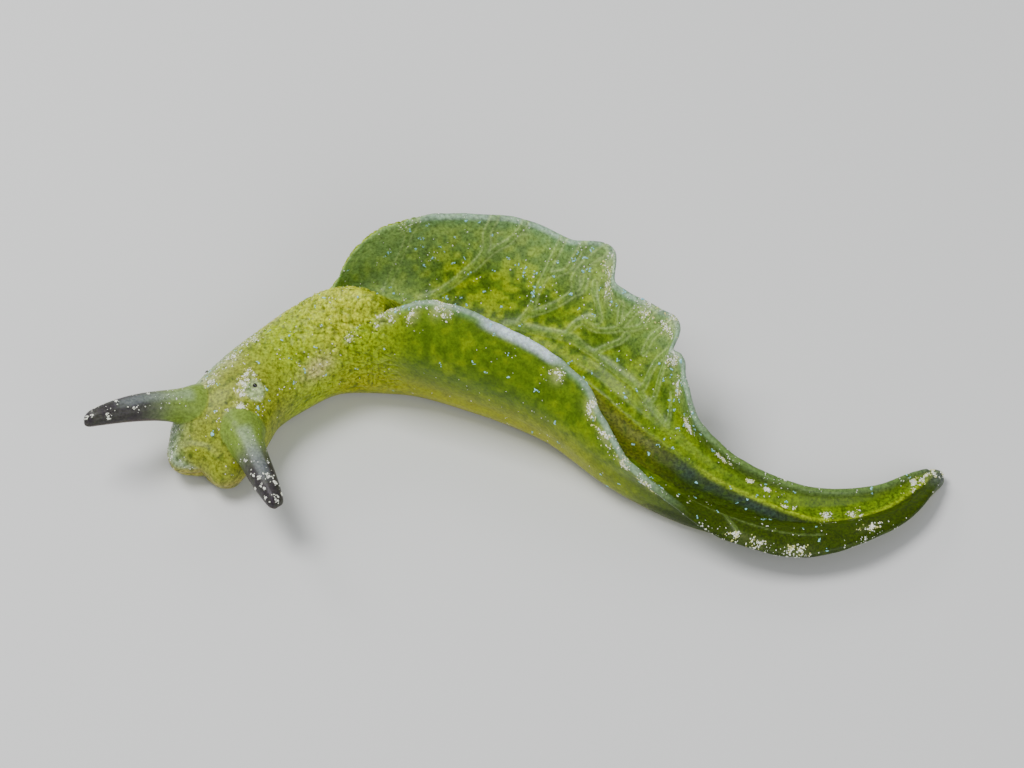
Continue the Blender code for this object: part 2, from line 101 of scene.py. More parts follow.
LEFT_MARGIN = [
    (8.8, 1.3, 2.9, 0.0), (9.9, 1.35, 4.1, 0.1), (11.0, 1.25, 4.8, 0.3), (12.5, 0.9, 5.7, 0.8),
    (14.5, 0.5, 6.3, 1.0), (16.5, 0.35, 6.3, 1.0), (18.5, 0.5, 6.1, 0.9), (20.5, 0.4, 5.6, 0.9),
    (22.5, 0.5, 5.0, 0.8), (24.5, 1.1, 4.2, 0.4), (26.5, 1.9, 3.4, 0.1), (28.5, 2.2, 2.5, 0.0),
    (30.0, 2.5, 1.8, 0.0), (32.0, 2.55, 1.4, 0.0), (34.0, 2.3, 1.2, 0.0), (36.5, 1.65, 1.0, 0.0),
    (39.2, 0.78, 0.72, 0.0), (40.0, 0.5, 0.5, 0.0)]
FLAP_START, FLAP_END = 8.8, 40.0
TIP_LENGTH = 0.45
RUFFLES = {
    1: [
        (12.0, -0.2, 0.5), (13.2, 0.2, 0.5), (15.0, -0.25, 0.55), (17.2, 0.25, 0.6), (18.6, -0.3, 0.5),
        (19.8, 0.4, 0.45), (20.8, -0.3, 0.4), (22.7, 0.3, 0.45), (24.0, -0.35, 0.4), (25.2, 0.25, 0.5)],
    -1: [
        (12.0, 0.15, 0.6), (14.2, -0.15, 0.6), (17.4, 0.15, 0.7), (22.6, -0.2, 0.7), (25.6, 0.2, 0.8),
        (31.0, -0.15, 0.8), (33.2, 0.15, 0.8), (35.6, -0.12, 0.7)]}
# Vessels on each flap's inner face: half width, then places of distance and share of the way to the margin
VESSELS = {
    1: [
        (0.19, [(17.1, 0.12), (17.7, 0.16), (19.1, 0.22), (19.9, 0.26), (20.6, 0.28), (21.4, 0.26),
               (22.4, 0.26), (23.4, 0.28), (24.2, 0.23), (25.6, 0.14)]),
        (0.13, [(17.5, 0.16), (17.9, 0.4), (17.8, 0.52), (18.0, 0.7), (18.1, 0.85), (18.25, 1.0)]),
        (0.13, [(17.9, 0.32), (18.6, 0.46), (19.1, 0.57), (19.3, 0.65), (19.1, 0.74), (19.2, 0.83),
               (19.4, 0.91), (19.6, 0.97)]),
        (0.07, [(19.3, 0.62), (19.5, 0.65), (19.5, 0.73), (19.4, 0.81)]),
        (0.09, [(18.1, 0.72), (18.8, 0.79), (18.9, 0.89), (19.0, 0.98)]),
        (0.11, [(19.6, 0.26), (19.7, 0.37), (20.1, 0.51), (20.6, 0.64), (20.5, 0.71), (20.0, 0.68),
               (19.8, 0.75)]),
        (0.09, [(20.1, 0.46), (20.9, 0.58), (21.35, 0.69), (21.4, 0.78), (21.6, 0.94)]),
        (0.06, [(21.35, 0.69), (21.2, 0.76), (21.1, 0.93)]),
        (0.08, [(21.4, 0.69), (22.0, 0.8), (22.0, 0.9), (22.1, 1.0)]),
        (0.09, [(20.9, 0.28), (21.2, 0.45), (21.6, 0.58), (21.65, 0.68)]),
        (0.1, [(22.6, 0.6), (22.5, 0.76), (22.6, 0.86), (22.8, 0.95)]),
        (0.12, [(23.4, 0.26), (23.5, 0.39), (23.35, 0.52), (23.3, 0.66), (23.6, 0.87)]),
        (0.1, [(24.2, 0.26), (24.25, 0.37), (24.0, 0.65), (23.9, 0.85)]),
        (0.08, [(25.6, 0.16), (25.45, 0.45), (25.0, 0.6)]),
        (0.12, [(11.8, 0.1), (11.85, 0.22), (12.05, 0.48), (12.3, 0.65), (12.5, 0.8), (12.6, 0.89),
               (12.8, 0.98)]),
        (0.08, [(12.6, 0.86), (12.35, 0.99)]),
        (0.14, [(13.3, 0.1), (13.65, 0.18), (14.2, 0.33), (14.7, 0.5), (15.1, 0.63), (15.35, 0.74),
               (15.3, 0.83), (15.25, 0.9), (15.4, 1.0)]),
        (0.1, [(15.0, 0.56), (15.6, 0.76), (16.2, 0.85), (16.45, 0.93), (16.6, 1.0)])],
    -1: [
        (0.06, [(28.5, 0.3), (31.0, 0.5), (33.8, 0.62)]),
        (0.06, [(30.0, 0.42), (30.8, 0.85)]),
        (0.08, [(24.0, 0.15), (25.4, 0.7)]),
        (0.1, [(14.0, 0.2), (15.2, 0.8)]),
        (0.1, [(18.0, 0.2), (19.2, 0.75)])]}
FLAP_REACH, SLIM_BELOW, ROOT_LEAVE, ROOT_TAPER = 4.5, 1.1, 0.35, 5.5
RHINOPHORE_ROOT_RADIUS, RHINOPHORE_TIP_RADIUS, RHINOPHORE_TAPER = 0.66, 0.32, 3.2
RHINOPHORE_ROOT = {1: (2.7, 1.45, 2.35), -1: (2.3, 1.3, 2.2)}
RHINOPHORES = {1: (5.4, (-0.87, -0.25, 0.44), (0.0, -0.35, -1.3)),
               -1: (4.6, (0.33, -0.92, 0.1), (0.1, 0.0, -0.1))}
LOBE_REACH, LOBE_SPREAD, LOBE_HALF_WIDTH = 0.55, 1.1, 0.7
LOBE_HEIGHT, LOBE_HALF_HEIGHT, LOBE_FADE = 1.1, 0.9, 0.8
FACE_DOME = 0.6
EYE_AT, EYE_ANGLE, EYE_SINK = 4.4, {1: 22.0, -1: 114.0}, 0.03

# Forms finer than the CAD part's; a span is where one begins, is full, fades and ends
SHEET_THICK, RIM_THICK, RIM_TURNS = 0.4, 0.36, (60.0, 25.0, -10.0, -45.0, -75.0)
ROOT_SINK, ROOT_CLEAR, CLEAR_SPAN = 0.35, 0.3, (9.0, 13.0, 33.0, 38.5)
FRONT_SINK, FRONT_SINK_ENDS = 0.25, (8.8, 11.0)
FLANK_ROWS = ((-60.0, -0.08), (-34.0, 0.0), (-8.0, 0.16))
FLANK_SINK, FLANK_SPAN = 0.05, (9.0, 13.0, 24.0, 28.0)
BELLY, BELLY_SHARE, BELLY_SPAN = 0.42, 0.17, (9.5, 13.0, 24.0, 28.0)
HUMP_SPREAD = {1: 0.8, -1: 1.6}
HUMP_SPREAD_ENDS = {1: (9.4, 10.8), -1: (11.2, 12.8)}
CREASE = [(20.0, 64.0), (28.2, 64.0), (31.0, 68.0), (32.2, 82.0), (33.6, 108.0), (35.4, 122.0), (36.7, 115.0),
          (37.9, 103.0), (40.4, 95.0)]
CREASE_OFF, CREASE_HALF, CREASE_RISE, CREASE_SPAN = -3.0, 8.0, 0.1, (25.0, 28.0, 35.5, 38.0)
TROUGH_OFF, TROUGH_HALF, TROUGH_DEPTH, TROUGH_SPAN = 24.0, 16.0, 0.28, (21.0, 25.0, 32.0, 36.5)
TROUGH_FULL_HEIGHT = 2.4
CRINKLES = {1: ((0.83, 0.3), (1.31, 1.9), (2.07, 4.1)), -1: ((1.07, 0.8), (1.71, 2.6))}
CRINKLE_RISE, CRINKLE_MOST = {1: (0.04, 0.1), -1: (0.045, 0.0)}, (22.0, 4.5)
CRINKLE_SPAN = (10.0, 13.0, 34.0, 39.0)
SADDLE_AT, SADDLE_SIDE, SADDLE_LENGTH, SADDLE_HALF_WIDTH, SADDLE_RISE = 11.95, -1.0, 1.1, 0.85, 1.9
SADDLE_ENDS = (12.3, 13.1)
WRINKLE_CELL, WRINKLE_RISE = 0.34, 0.09
FEELER_FLARE, FEELER_FLARE_LENGTH, FEELER_TIP, FEELER_BURIED = 0.38, 0.62, 0.3, 0.9
VESSEL_RISE, VESSEL_WALL = 0.07, 0.05
SOLE_EDGE, SOLE_EDGE_AT, SOLE_EDGE_HALF, SOLE_SINK = 0.08, 0.22, 0.13, 0.15
FOOT_SQUARE, FOOT_NARROWER, FOOT_NARROWS = 0.68, 0.22, (11.0, 15.0)
MOUTH_DEPTH, MOUTH_HALF_WIDTH, MOUTH_HEIGHT, MOUTH_HALF_HEIGHT = 0.4, 0.15, 0.2, 0.6
LIP_DEPTH, LIP_HEIGHT, LIP_HALF_HEIGHT, LIP_HALF_WIDTH = 0.16, 0.62, 0.1, 1.3
ROLL_DEPTH, ROLL_HALF_ANGLE, ROLL_TURN, ROLL_BEGINS = 0.55, 17.0, -65.0, (0.25, 0.45)
ROLL_LIP, ROLL_LIP_ANGLE, ROLL_LIP_HALF = 0.12, 38.0, 14.0
EYE_BALL, EYE_ROWS, EYE_SIDES, EYE_POLE = (0.105, 0.13), 14, 24, 0.1

# Steps of the source forms, in millimetres along the body and in points round it, and the skin's own
BODY_STATION, BODY_SIDES, FACE_RINGS = 0.12, 112, 16
FLAP_STATION, SHEET_STEPS = 0.09, 44
FEELER_STATION, FEELER_SIDES = 0.1, 60
TIP_STEPS = np.sin(np.linspace(0, 1.5, 8))
VOXEL, SMOOTH_ROUNDS, ROOT_ROUNDS = 0.066, 4, 30

# Kinds of place on the animal
ON_BODY, ON_RIGHT_FLAP, ON_LEFT_FLAP, ON_RIGHT_FEELER, ON_LEFT_FEELER = range(5)
FLAP_KIND = {1: ON_RIGHT_FLAP, -1: ON_LEFT_FLAP}
FEELER_KIND = {1: ON_RIGHT_FEELER, -1: ON_LEFT_FEELER}
ON_FLAPS, ON_FEELERS = (ON_RIGHT_FLAP, ON_LEFT_FLAP), (ON_RIGHT_FEELER, ON_LEFT_FEELER)


def smooth_curve(knots):
    """Return a function that passes smoothly through knots of (place, value, value...)."""
    table = np.array(knots, float)
    places, values = table[:, 0], table[:, 1:]
    steps = np.diff(places)
    chords = np.diff(values, axis=0) / steps[:, None]
    slopes = np.empty_like(values)
    slopes[0], slopes[-1] = chords[0], chords[-1]
    total = (steps[:-1] + steps[1:])[:, None]
    slopes[1:-1] = (chords[:-1] * steps[1:, None] + chords[1:] * steps[:-1, None]) / total

    def value_at(place):
        place = np.asarray(place, float)
        i = np.clip(np.searchsorted(places, place, side="right") - 1, 0, len(steps) - 1)
        w = np.clip((place - places[i]) / steps[i], 0.0, 1.0)[..., None]
        length = steps[i][..., None]
        start, end = (1 + 2 * w) * (1 - w) ** 2, w * w * (3 - 2 * w)
        leave, arrive = w * (1 - w) ** 2 * length, w * w * (w - 1) * length
        return start * values[i] + end * values[i + 1] + leave * slopes[i] + arrive * slopes[i + 1]

    return value_at


def measured_midline():
    """Return the midline by distance along it, and its far end."""
    steps = np.hypot(*np.diff(np.array(MIDLINE), axis=0).T)
    places = SNOUT + np.concatenate([[0.0], np.cumsum(steps)])
    course = smooth_curve([(place, *point) for place, point in zip(places, MIDLINE)])
    points = course(np.linspace(SNOUT, places[-1], 801))
    travelled = SNOUT + np.concatenate([[0.0], np.cumsum(np.hypot(*np.diff(points, axis=0).T))])
    return smooth_curve(np.column_stack([travelled, points])), travelled[-1]


MIDLINE_AT, MIDLINE_END = measured_midline()
BODY_AT = smooth_curve(BODY)
CREASE_AT = smooth_curve(CREASE)
MARGIN_AT = {1: smooth_curve(RIGHT_MARGIN), -1: smooth_curve(LEFT_MARGIN)}


def bump(value, at, half):
    """Return a soft bump of height 1 at a place, as wide as half on each side."""
    return np.exp(-((value - at) / half) ** 2)


def ramp(value, start, end):
    """Return 0 before start, 1 after end and a smooth rise between."""
    w = np.clip((value - start) / (end - start), 0.0, 1.0)
    return w * w * (3 - 2 * w)


def fall(value, start, end):
    """Return 1 before start, 0 after end and a smooth fall between."""
    return 1 - ramp(value, start, end)


def span(value, start, full, fades, end, height=1.0):
    """Return the height between full and fades, and 0 before start and after end."""
    return height * ramp(value, start, full) * fall(value, fades, end)


def unit(vectors):
    """Return vectors scaled to length 1."""
    return vectors / np.linalg.norm(vectors, axis=-1, keepdims=True)


def placed(s, u, z, ahead=0.0):
    """Return the points at distance s, u to the right, z up and ahead towards the snout."""
    s, u, z, ahead = np.broadcast_arrays(*(np.asarray(value, float) for value in (s, u, z, ahead)))
    low = np.clip(s - FRAME_STEP, SNOUT, MIDLINE_END - 2 * FRAME_STEP)
    along = unit(MIDLINE_AT(low + 2 * FRAME_STEP) - MIDLINE_AT(low))
    right = np.stack([-along[..., 1], along[..., 0]], axis=-1)
    level = MIDLINE_AT(s) + right * u[..., None] - along * ahead[..., None]
    return np.concatenate([level, z[..., None]], axis=-1)


def section_point(s, degrees, swell=0.0):
    """Return u and z on the body's plain section; 0 degrees is its right side and 90 the back."""
    half_width, height = np.moveaxis(BODY_AT(s), -1, 0)
    turn = np.radians(degrees)
    return (half_width + swell) * np.cos(turn), height / 2 + (height / 2 + swell) * np.sin(turn)


def hump(s, u):
    """Return how high the hump between the flaps' front ends stands over the back."""
    left, right = (HUMP_HALF_WIDTH + HUMP_SPREAD[side] * fall(s, *HUMP_SPREAD_ENDS[side])
                   for side in (-1, 1))
    half_width = np.where(u < HUMP_SIDE, left, right)
    near = ((s - HUMP_AT) / HUMP_LENGTH) ** 2 + ((u - HUMP_SIDE) / half_width) ** 2
    saddle = SADDLE_RISE * bump(s, SADDLE_AT, SADDLE_LENGTH) * bump(u, SADDLE_SIDE, SADDLE_HALF_WIDTH)
    return HUMP_RISE * np.exp(-HUMP_STEEPNESS * near) + saddle * fall(s, *SADDLE_ENDS)


def body_point(s, degrees):
    """Return u and z on the body's section, with the hump, the flat sole and the sole's thin edge."""
    half_width, height = np.moveaxis(BODY_AT(s), -1, 0)
    u, z = section_point(s, degrees)
    across, up = np.cos(np.radians(degrees)), np.sin(np.radians(degrees))
    z = z + hump(s, u) * ramp(up, 0.0, 0.3)
    crease = CREASE_AT(s)[..., 0]
    z = z + span(s, *CREASE_SPAN, CREASE_RISE * bump(degrees, crease + CREASE_OFF, CREASE_HALF))
    trough = span(s, *TROUGH_SPAN, bump(degrees, crease + TROUGH_OFF, TROUGH_HALF))
    z = z - TROUGH_DEPTH * trough * np.clip(height / TROUGH_FULL_HEIGHT, 0.0, 1.0)
    power = FOOT_SQUARE + FOOT_NARROWER * ramp(s, *FOOT_NARROWS)
    u = np.where(up < 0, half_width * np.sign(across) * np.abs(across) ** power, u)
    z = np.maximum(z - SOLE_SINK * np.clip(-up, 0.0, 1.0), 0.0)
    u = u + np.sign(across) * SOLE_EDGE * bump(z, SOLE_EDGE_AT, SOLE_EDGE_HALF) * (up < 0)
    return u, z


def head_point(s, degrees, shrink, dome_height):
    """Return a point of the body, with two mouth lobes and the slit between them at the front."""
    u, z = body_point(s, degrees)
    middle = BODY_AT(s)[..., 1] / 2
    u, z = u * shrink, np.maximum(middle + (z - middle) * shrink, 0.0)
    front = np.exp(-(s - SNOUT) / LOBE_FADE)
    low = bump(z, LOBE_HEIGHT, LOBE_HALF_HEIGHT)
    lobe = LOBE_REACH * bump(np.abs(u), LOBE_SPREAD, LOBE_HALF_WIDTH)
    slit = MOUTH_DEPTH * bump(u, 0.0, MOUTH_HALF_WIDTH) * bump(z, MOUTH_HEIGHT, MOUTH_HALF_HEIGHT)
    lip = LIP_DEPTH * bump(z, LIP_HEIGHT, LIP_HALF_HEIGHT) * bump(u, 0.0, LIP_HALF_WIDTH)
    dome = dome_height * np.sqrt(np.maximum(1 - shrink ** 2, 0.0))
    return placed(s, u, z, ahead=dome + front * (low * (lobe - slit) - lip))


def tube_faces(rings, count):
    """Return the triangles of a tube of rings, with a point in the middle of each end."""
    i, j = np.meshgrid(np.arange(rings - 1), np.arange(count), indexing="ij")
    a, b = (i * count + j).ravel(), (i * count + (j + 1) % count).ravel()
    faces = [np.column_stack([a, b, b + count]), np.column_stack([a, b + count, a + count])]
    j = np.arange(count)
    for first, middle in ((0, rings * count), ((rings - 1) * count, rings * count + 1)):
        faces.append(np.column_stack([first + j, first + (j + 1) % count, np.full(count, middle)]))
    return np.concatenate(faces)


def tube(grid, places, kind):
    """Return one closed source form from a grid of points and what each point knows."""
    rings, count = grid.shape[:2]
    ends = np.array([grid[0].mean(axis=0), grid[-1].mean(axis=0)])
    end_places = np.array([places[0].mean(axis=0), places[-1].mean(axis=0)])
    points = np.concatenate([grid.reshape(-1, 3), ends])
    knows = np.concatenate([places.reshape(-1, places.shape[-1]), end_places])
    return points, tube_faces(rings, count), knows, kind


def rounded_end(reach, end, length):
    """Return the share of its width that a form keeps as its end rounds off."""
    past = np.clip((reach - end + length) / length, 0.0, 1.0)
    return np.sqrt(np.maximum(1 - past ** 2, 0.02))


def body_form():
    """Return the body from its face to the tail tip."""
    degrees = np.linspace(-90, 270, BODY_SIDES, endpoint=False)
    face = [head_point(np.full_like(degrees, SNOUT), degrees, shrink, FACE_DOME)
            for shrink in np.linspace(0.05, 0.98, FACE_RINGS)]
    rounding = MIDLINE_END - TIP_LENGTH * (1 - TIP_STEPS)
    distances = np.concatenate([np.arange(SNOUT, rounding[0] - BODY_STATION / 2, BODY_STATION), rounding])
    s, angle = np.meshgrid(distances, degrees, indexing="ij")
    rest = head_point(s, angle, rounded_end(s, MIDLINE_END, TIP_LENGTH), 0.0)
    grid = np.concatenate([np.array(face), rest])
    face_s = np.repeat(np.linspace(0.2, SNOUT, FACE_RINGS)[:, None], BODY_SIDES, axis=1)
    face_angle = np.tile(degrees, (FACE_RINGS, 1))
    places = np.stack([np.concatenate([face_s, s]), np.concatenate([face_angle, angle]),
                       np.zeros(grid.shape[:2])], axis=-1)
    return tube(grid, places, ON_BODY)


def shoulder(s, clear):
    """Return the outer and inner root corners of a flap and the way out of the body there."""
    corners = [np.stack(section_point(s, angle), axis=-1) for angle in (SHOULDER_LOW, SHOULDER_HIGH)]
    strip = corners[1] - corners[0]
    normal = unit(np.stack([strip[..., 1], -strip[..., 0]], axis=-1))
    clear = np.asarray(clear, float)[..., None]
    return corners[0] + normal * clear, corners[1] + normal * clear, normal


def fine_ruffle(side, s):
    """Return the small folds of a margin, strongest where the large ones are."""
    waves = CRINKLES[side]
    crinkle = sum(np.sin(2 * math.pi * s / length + phase) for length, phase in waves) / len(waves)
    low, more = CRINKLE_RISE[side]
    return span(s, *CRINKLE_SPAN, crinkle * (low + more * bump(s, *CRINKLE_MOST)))


def rounded_course(course):
    """Return a line of places with its corners cut twice."""
    for _ in range(2):
        start, end = course[:-1], course[1:]
        cut = np.stack([start * 0.75 + end * 0.25, start * 0.25 + end * 0.75], axis=1).reshape(-1, 2)
        course = np.concatenate([course[:1], cut, course[-1:]])
    return course


def vessels_near(side, s, v):
    """Return how far inside a vessel, and how close to a vessel's walls, each place on a flap is."""
    spot = np.stack([s, v * FLAP_REACH], axis=-1)
    depth, wall = np.full(np.shape(s), 10.0), np.full(np.shape(s), 10.0)
    for half_width, vessel in VESSELS[side]:
        course = rounded_course(np.array([(at, share * FLAP_REACH) for at, share in vessel]))
        nearest = np.full(np.shape(s), 10.0)
        for start, end in zip(course, course[1:]):
            run = end - start
            share = np.clip((spot - start) @ run / (run @ run), 0.0, 1.0)[..., None]
            nearest = np.minimum(nearest, np.linalg.norm(spot - start - run * share, axis=-1))
        depth = np.minimum(depth, nearest / half_width)
        wall = np.minimum(wall, np.abs(nearest - half_width))
    return fall(depth, 0.6, 1.1), bump(wall, 0.0, VESSEL_WALL) * ramp(depth, 0.6, 0.9)


def flank_rows(s):
    """Return the rows down the flank that carry a flap's outer face smoothly on to the foot."""
    full = span(s, *FLANK_SPAN)
    rows = []
    for angle, swell in FLANK_ROWS:
        u, z = body_point(s, angle)
        out = swell if swell < 0 else swell * full - FLANK_SINK * (1 - full)
        rows.append(np.stack([u + out, z], axis=-1))
    return np.stack(rows, axis=1)


def flap_sheet(side, s, v):
    """Return a flap's middle, its way to the margin, and half the thickness of its sheet and of its rim."""
    clear = span(s, *CLEAR_SPAN, ROOT_CLEAR) - FRONT_SINK * fall(s, *FRONT_SINK_ENDS)
    outer, inner, normal = shoulder(s, clear)
    reach, height, bow = np.moveaxis(MARGIN_AT[side](s), -1, 0)
    root, margin = (outer + inner) / 2, np.stack([reach, height], axis=-1)
    run = margin - root
    length = np.linalg.norm(run, axis=-1, keepdims=True)
    lift = np.stack([run[..., 1], -run[..., 0]], axis=-1) / length
    control = root + normal * ROOT_LEAVE * length + lift * bow[..., None]
    slim = np.minimum(BODY_AT(s)[..., 1] / SLIM_BELOW, 1.0)
    rim_half = slim * RIM_THICK / 2
    w = (v * (1 - rim_half / length[..., 0]))[..., None]
    fold = sum(push * bump(s, at, half) for at, push, half in RUFFLES[side])
    middle = root * (1 - w) ** 2 + control * 2 * w * (1 - w) + margin * w * w
    middle = middle + lift * fold[..., None] * w * w + lift * fine_ruffle(side, s)[..., None] * w ** 4
    along = unit((control - root) * 2 * (1 - w) + (margin - control) * 2 * w)
    blend = np.exp(-ROOT_TAPER * v)
    root_half = np.linalg.norm(inner - outer, axis=-1) / 2
    half = root_half * blend + (slim * SHEET_THICK / 2 * (1 - v) + rim_half * v) * (1 - blend)
    return middle, along, half, rim_half


def flap_form(side):
    """Return one flap as a thin closed sheet with a rounded margin."""
    distances = np.arange(FLAP_START, FLAP_END, FLAP_STATION)
    shares = np.linspace(0.02, 1.0, SHEET_STEPS)
    s, v = np.meshgrid(distances, shares, indexing="ij")
    middle, along, half, rim_half = flap_sheet(side, s, v)
    outward = np.stack([along[..., 1], -along[..., 0]], axis=-1)
    belly = BELLY * span(s, *BELLY_SPAN) * bump(v, 0.0, BELLY_SHARE)
    rise = VESSEL_RISE * vessels_near(side, s, v)[0]
    outer_face = middle + outward * (half + belly)[..., None]
    inner_face = middle - outward * (half + rise)[..., None]
    rim = [middle[:, -1] + along[:, -1] * (rim_half[:, -1:] * math.cos(turn))
           + outward[:, -1] * (rim_half[:, -1:] * math.sin(turn)) for turn in np.radians(RIM_TURNS)]
    root_inner = shoulder(distances, -ROOT_SINK)[1]
    section = np.concatenate([flank_rows(distances), outer_face, np.stack(rim, axis=1), inner_face[:, ::-1],
                              root_inner[:, None]], axis=1)
    flank, turns = np.zeros(len(FLANK_ROWS)), len(RIM_TURNS)
    v_row = np.concatenate([flank, shares, np.ones(turns), shares[::-1], [0.0]])
    face_row = np.concatenate([flank, shares * 0, np.linspace(0.1, 0.9, turns), shares * 0 + 1, [1.0]])
    s, v, face = np.broadcast_arrays(distances[:, None], v_row[None], face_row[None])
    grid = placed(s, side * section[..., 0], np.maximum(section[..., 1], 0.02))
    return tube(grid, np.stack([s, v, face], axis=-1), FLAP_KIND[side])


def feeler_form(side):
    """Return one rolled rhinophore with a rounded tip."""
    length, aim, tip_bend = RHINOPHORES[side]
    at, out, up = RHINOPHORE_ROOT[side]
    way = Vector(aim).normalized()
    level = way.cross(Vector((0, 0, 1))).normalized()
    rise = np.array(level.cross(way))
    way, level = np.array(way), np.array(level)
    tip = length - FEELER_TIP
    reaches = np.concatenate([np.arange(-FEELER_BURIED, tip, FEELER_STATION), tip + FEELER_TIP * TIP_STEPS])
    turns = np.linspace(0, 360, FEELER_SIDES, endpoint=False)
    reach, turn = np.meshgrid(reaches, turns, indexing="ij")
    part = reach / length
    centre = placed(at, side * out, up) + way * reach[..., None]
    centre = centre + np.array(tip_bend) * (part * part)[..., None]
    width = RHINOPHORE_ROOT_RADIUS
    width = width + (RHINOPHORE_TIP_RADIUS - width) * np.maximum(part, 0.0) ** RHINOPHORE_TAPER
    width = width + FEELER_FLARE * np.exp(-np.maximum(reach, 0.0) / FEELER_FLARE_LENGTH)
    width = width * rounded_end(reach, length, FEELER_TIP)
    off = (turn - ROLL_TURN + 180) % 360 - 180
    depth = ROLL_DEPTH * ramp(part, *ROLL_BEGINS)
    lips = bump(np.abs(off), ROLL_LIP_ANGLE, ROLL_LIP_HALF)
    radius = width * (1 - depth * bump(off, 0.0, ROLL_HALF_ANGLE) + ROLL_LIP * depth * lips)
    across, up_way = np.cos(np.radians(turn)) * radius * side, np.sin(np.radians(turn)) * radius
    grid = centre + level * across[..., None] + rise * up_way[..., None]
    return tube(grid, np.stack([reach, turn, part], axis=-1), FEELER_KIND[side])


def joined(forms):
    """Return all source forms as one list of points, triangles, places and kinds."""
    points, faces, places, kinds, first = [], [], [], [], 0
    for form_points, form_faces, form_places, kind in forms:
        points.append(form_points)
        faces.append(form_faces + first)
        places.append(form_places)
        kinds.append(np.full(len(form_faces), kind))
        first += len(form_points)
    return np.concatenate(points), np.concatenate(faces), np.concatenate(places), np.concatenate(kinds)


def linked(name, data):
    """Add an object to the scene and return it."""
    thing = bpy.data.objects.new(name, data)
    bpy.context.scene.collection.objects.link(thing)
    return thing


def fused(points, faces):
    """Return the outer surface round all the source forms as points and faces of four corners."""
    mesh = bpy.data.meshes.new("sources")
    mesh.from_pydata(points.tolist(), [], faces.tolist())
    source = linked("sources", mesh)
    remesh = source.modifiers.new("Fuse", "REMESH")
    remesh.mode = "VOXEL"
    remesh.voxel_size = VOXEL
    graph = bpy.context.evaluated_depsgraph_get()
    result = bpy.data.meshes.new_from_object(source.evaluated_get(graph))
    bpy.data.objects.remove(source)
    skin_points = np.empty(len(result.vertices) * 3, np.float32)
    result.vertices.foreach_get("co", skin_points)
    corners = np.empty(len(result.loops), np.int32)
    result.loops.foreach_get("vertex_index", corners)
    bpy.data.meshes.remove(result)
    return skin_points.reshape(-1, 3).astype(float), corners.reshape(-1, 4)


def links_of(quads):
    """Return both ends of every side of the faces, each way."""
    sides = np.concatenate([quads[:, [k, (k + 1) % 4]] for k in range(4)])
    sides = np.unique(np.sort(sides, axis=1), axis=0)
    return np.concatenate([sides[:, 0], sides[:, 1]]), np.concatenate([sides[:, 1], sides[:, 0]])


def averaged(values, links):
    """Return the mean of each point's neighbours."""
    here, there = links
    count = np.bincount(here, minlength=len(values))[:, None]
    flat = values.reshape(len(values), -1)
    total = [np.bincount(here, weights=flat[there, k], minlength=len(values)) for k in range(flat.shape[1])]
    return (np.stack(total, axis=1) / count).reshape(values.shape)


def smoothed(values, links, rounds, strength=0.5):
    """Return values evened out over the surface."""
    for _ in range(rounds):
        values = values + strength * (averaged(values, links) - values)
    return values


def looked_up(skin_points, points, faces, places, kinds):
    """Return what the nearest place on the source forms knows, for each point of the skin."""
    tree = BVHTree.FromPolygons(points.tolist(), faces.tolist(), all_triangles=True)
    found = [tree.find_nearest(point) for point in skin_points.tolist()]
    spots = np.array([hit[0] for hit in found])
    index = np.array([hit[2] for hit in found])
    a, b, c = (points[faces[index, k]] for k in range(3))
    ab, ac, ap = b - a, c - a, spots - a
    d00, d01, d11 = (ab * ab).sum(1), (ab * ac).sum(1), (ac * ac).sum(1)
    d20, d21 = (ap * ab).sum(1), (ap * ac).sum(1)
    scale = np.maximum(d00 * d11 - d01 * d01, 1e-14)
    share_b = np.clip((d11 * d20 - d01 * d21) / scale, 0, 1)
    share_c = np.clip((d00 * d21 - d01 * d20) / scale, 0, 1)
    shares = np.stack([1 - share_b - share_c, share_b, share_c], axis=1)
    knows = sum(places[faces[index, k]] * shares[:, k:k + 1] for k in range(3))
    return knows, kinds[index]


def normals_of(points, quads):
    """Return the way out of the skin at each point."""
    across = points[quads[:, 2]] - points[quads[:, 0]]
    along = points[quads[:, 3]] - points[quads[:, 1]]
    facing = np.cross(across, along)
    total = np.zeros_like(points)
    for k in range(3):
        for corner in range(4):
            total[:, k] += np.bincount(quads[:, corner], weights=facing[:, k], minlength=len(points))
    return total / np.maximum(np.linalg.norm(total, axis=1, keepdims=True), 1e-12)


def speckle(points, cell, seed):
    """Return smooth noise from 0 to 1 whose grains are about one cell across."""
    table = np.random.default_rng(seed).random((32, 32, 32))
    spot = points / cell + 100.0
    base = np.floor(spot).astype(int)
    w = spot - base
    w = w * w * (3 - 2 * w)
    total = np.zeros(len(points))
    for corner in np.ndindex(2, 2, 2):
        share = np.prod([w[:, k] if corner[k] else 1 - w[:, k] for k in range(3)], axis=0)
        total += share * table[tuple((base[:, k] + corner[k]) % 32 for k in range(3))]
    return total


# Colours as seen, red, green and blue from 0 to 255
HEAD_GREEN = (132, 142, 34)
# Partly the head's whitish-blue glitter, partly a painted highlight along its upper far side
HEAD_RIM_GLITTER_AND_HIGHLIGHT = (150, 172, 150)
LIP_TAN = (170, 150, 84)
NECK_GREEN = (150, 172, 8)
NECK_DARK = (92, 112, 8)
BACK_YELLOW = (194, 200, 44)
FLANK_GREEN = (88, 116, 0)
FLANK_LOW = (158, 160, 0)
SOLE_PALE = (150, 150, 84)
FOOT_RIM = (150, 158, 110)
FLAP_GREEN = (98, 126, 10)
FLAP_YELLOW = (148, 168, 6)
FLAP_DARK = (44, 72, 14)
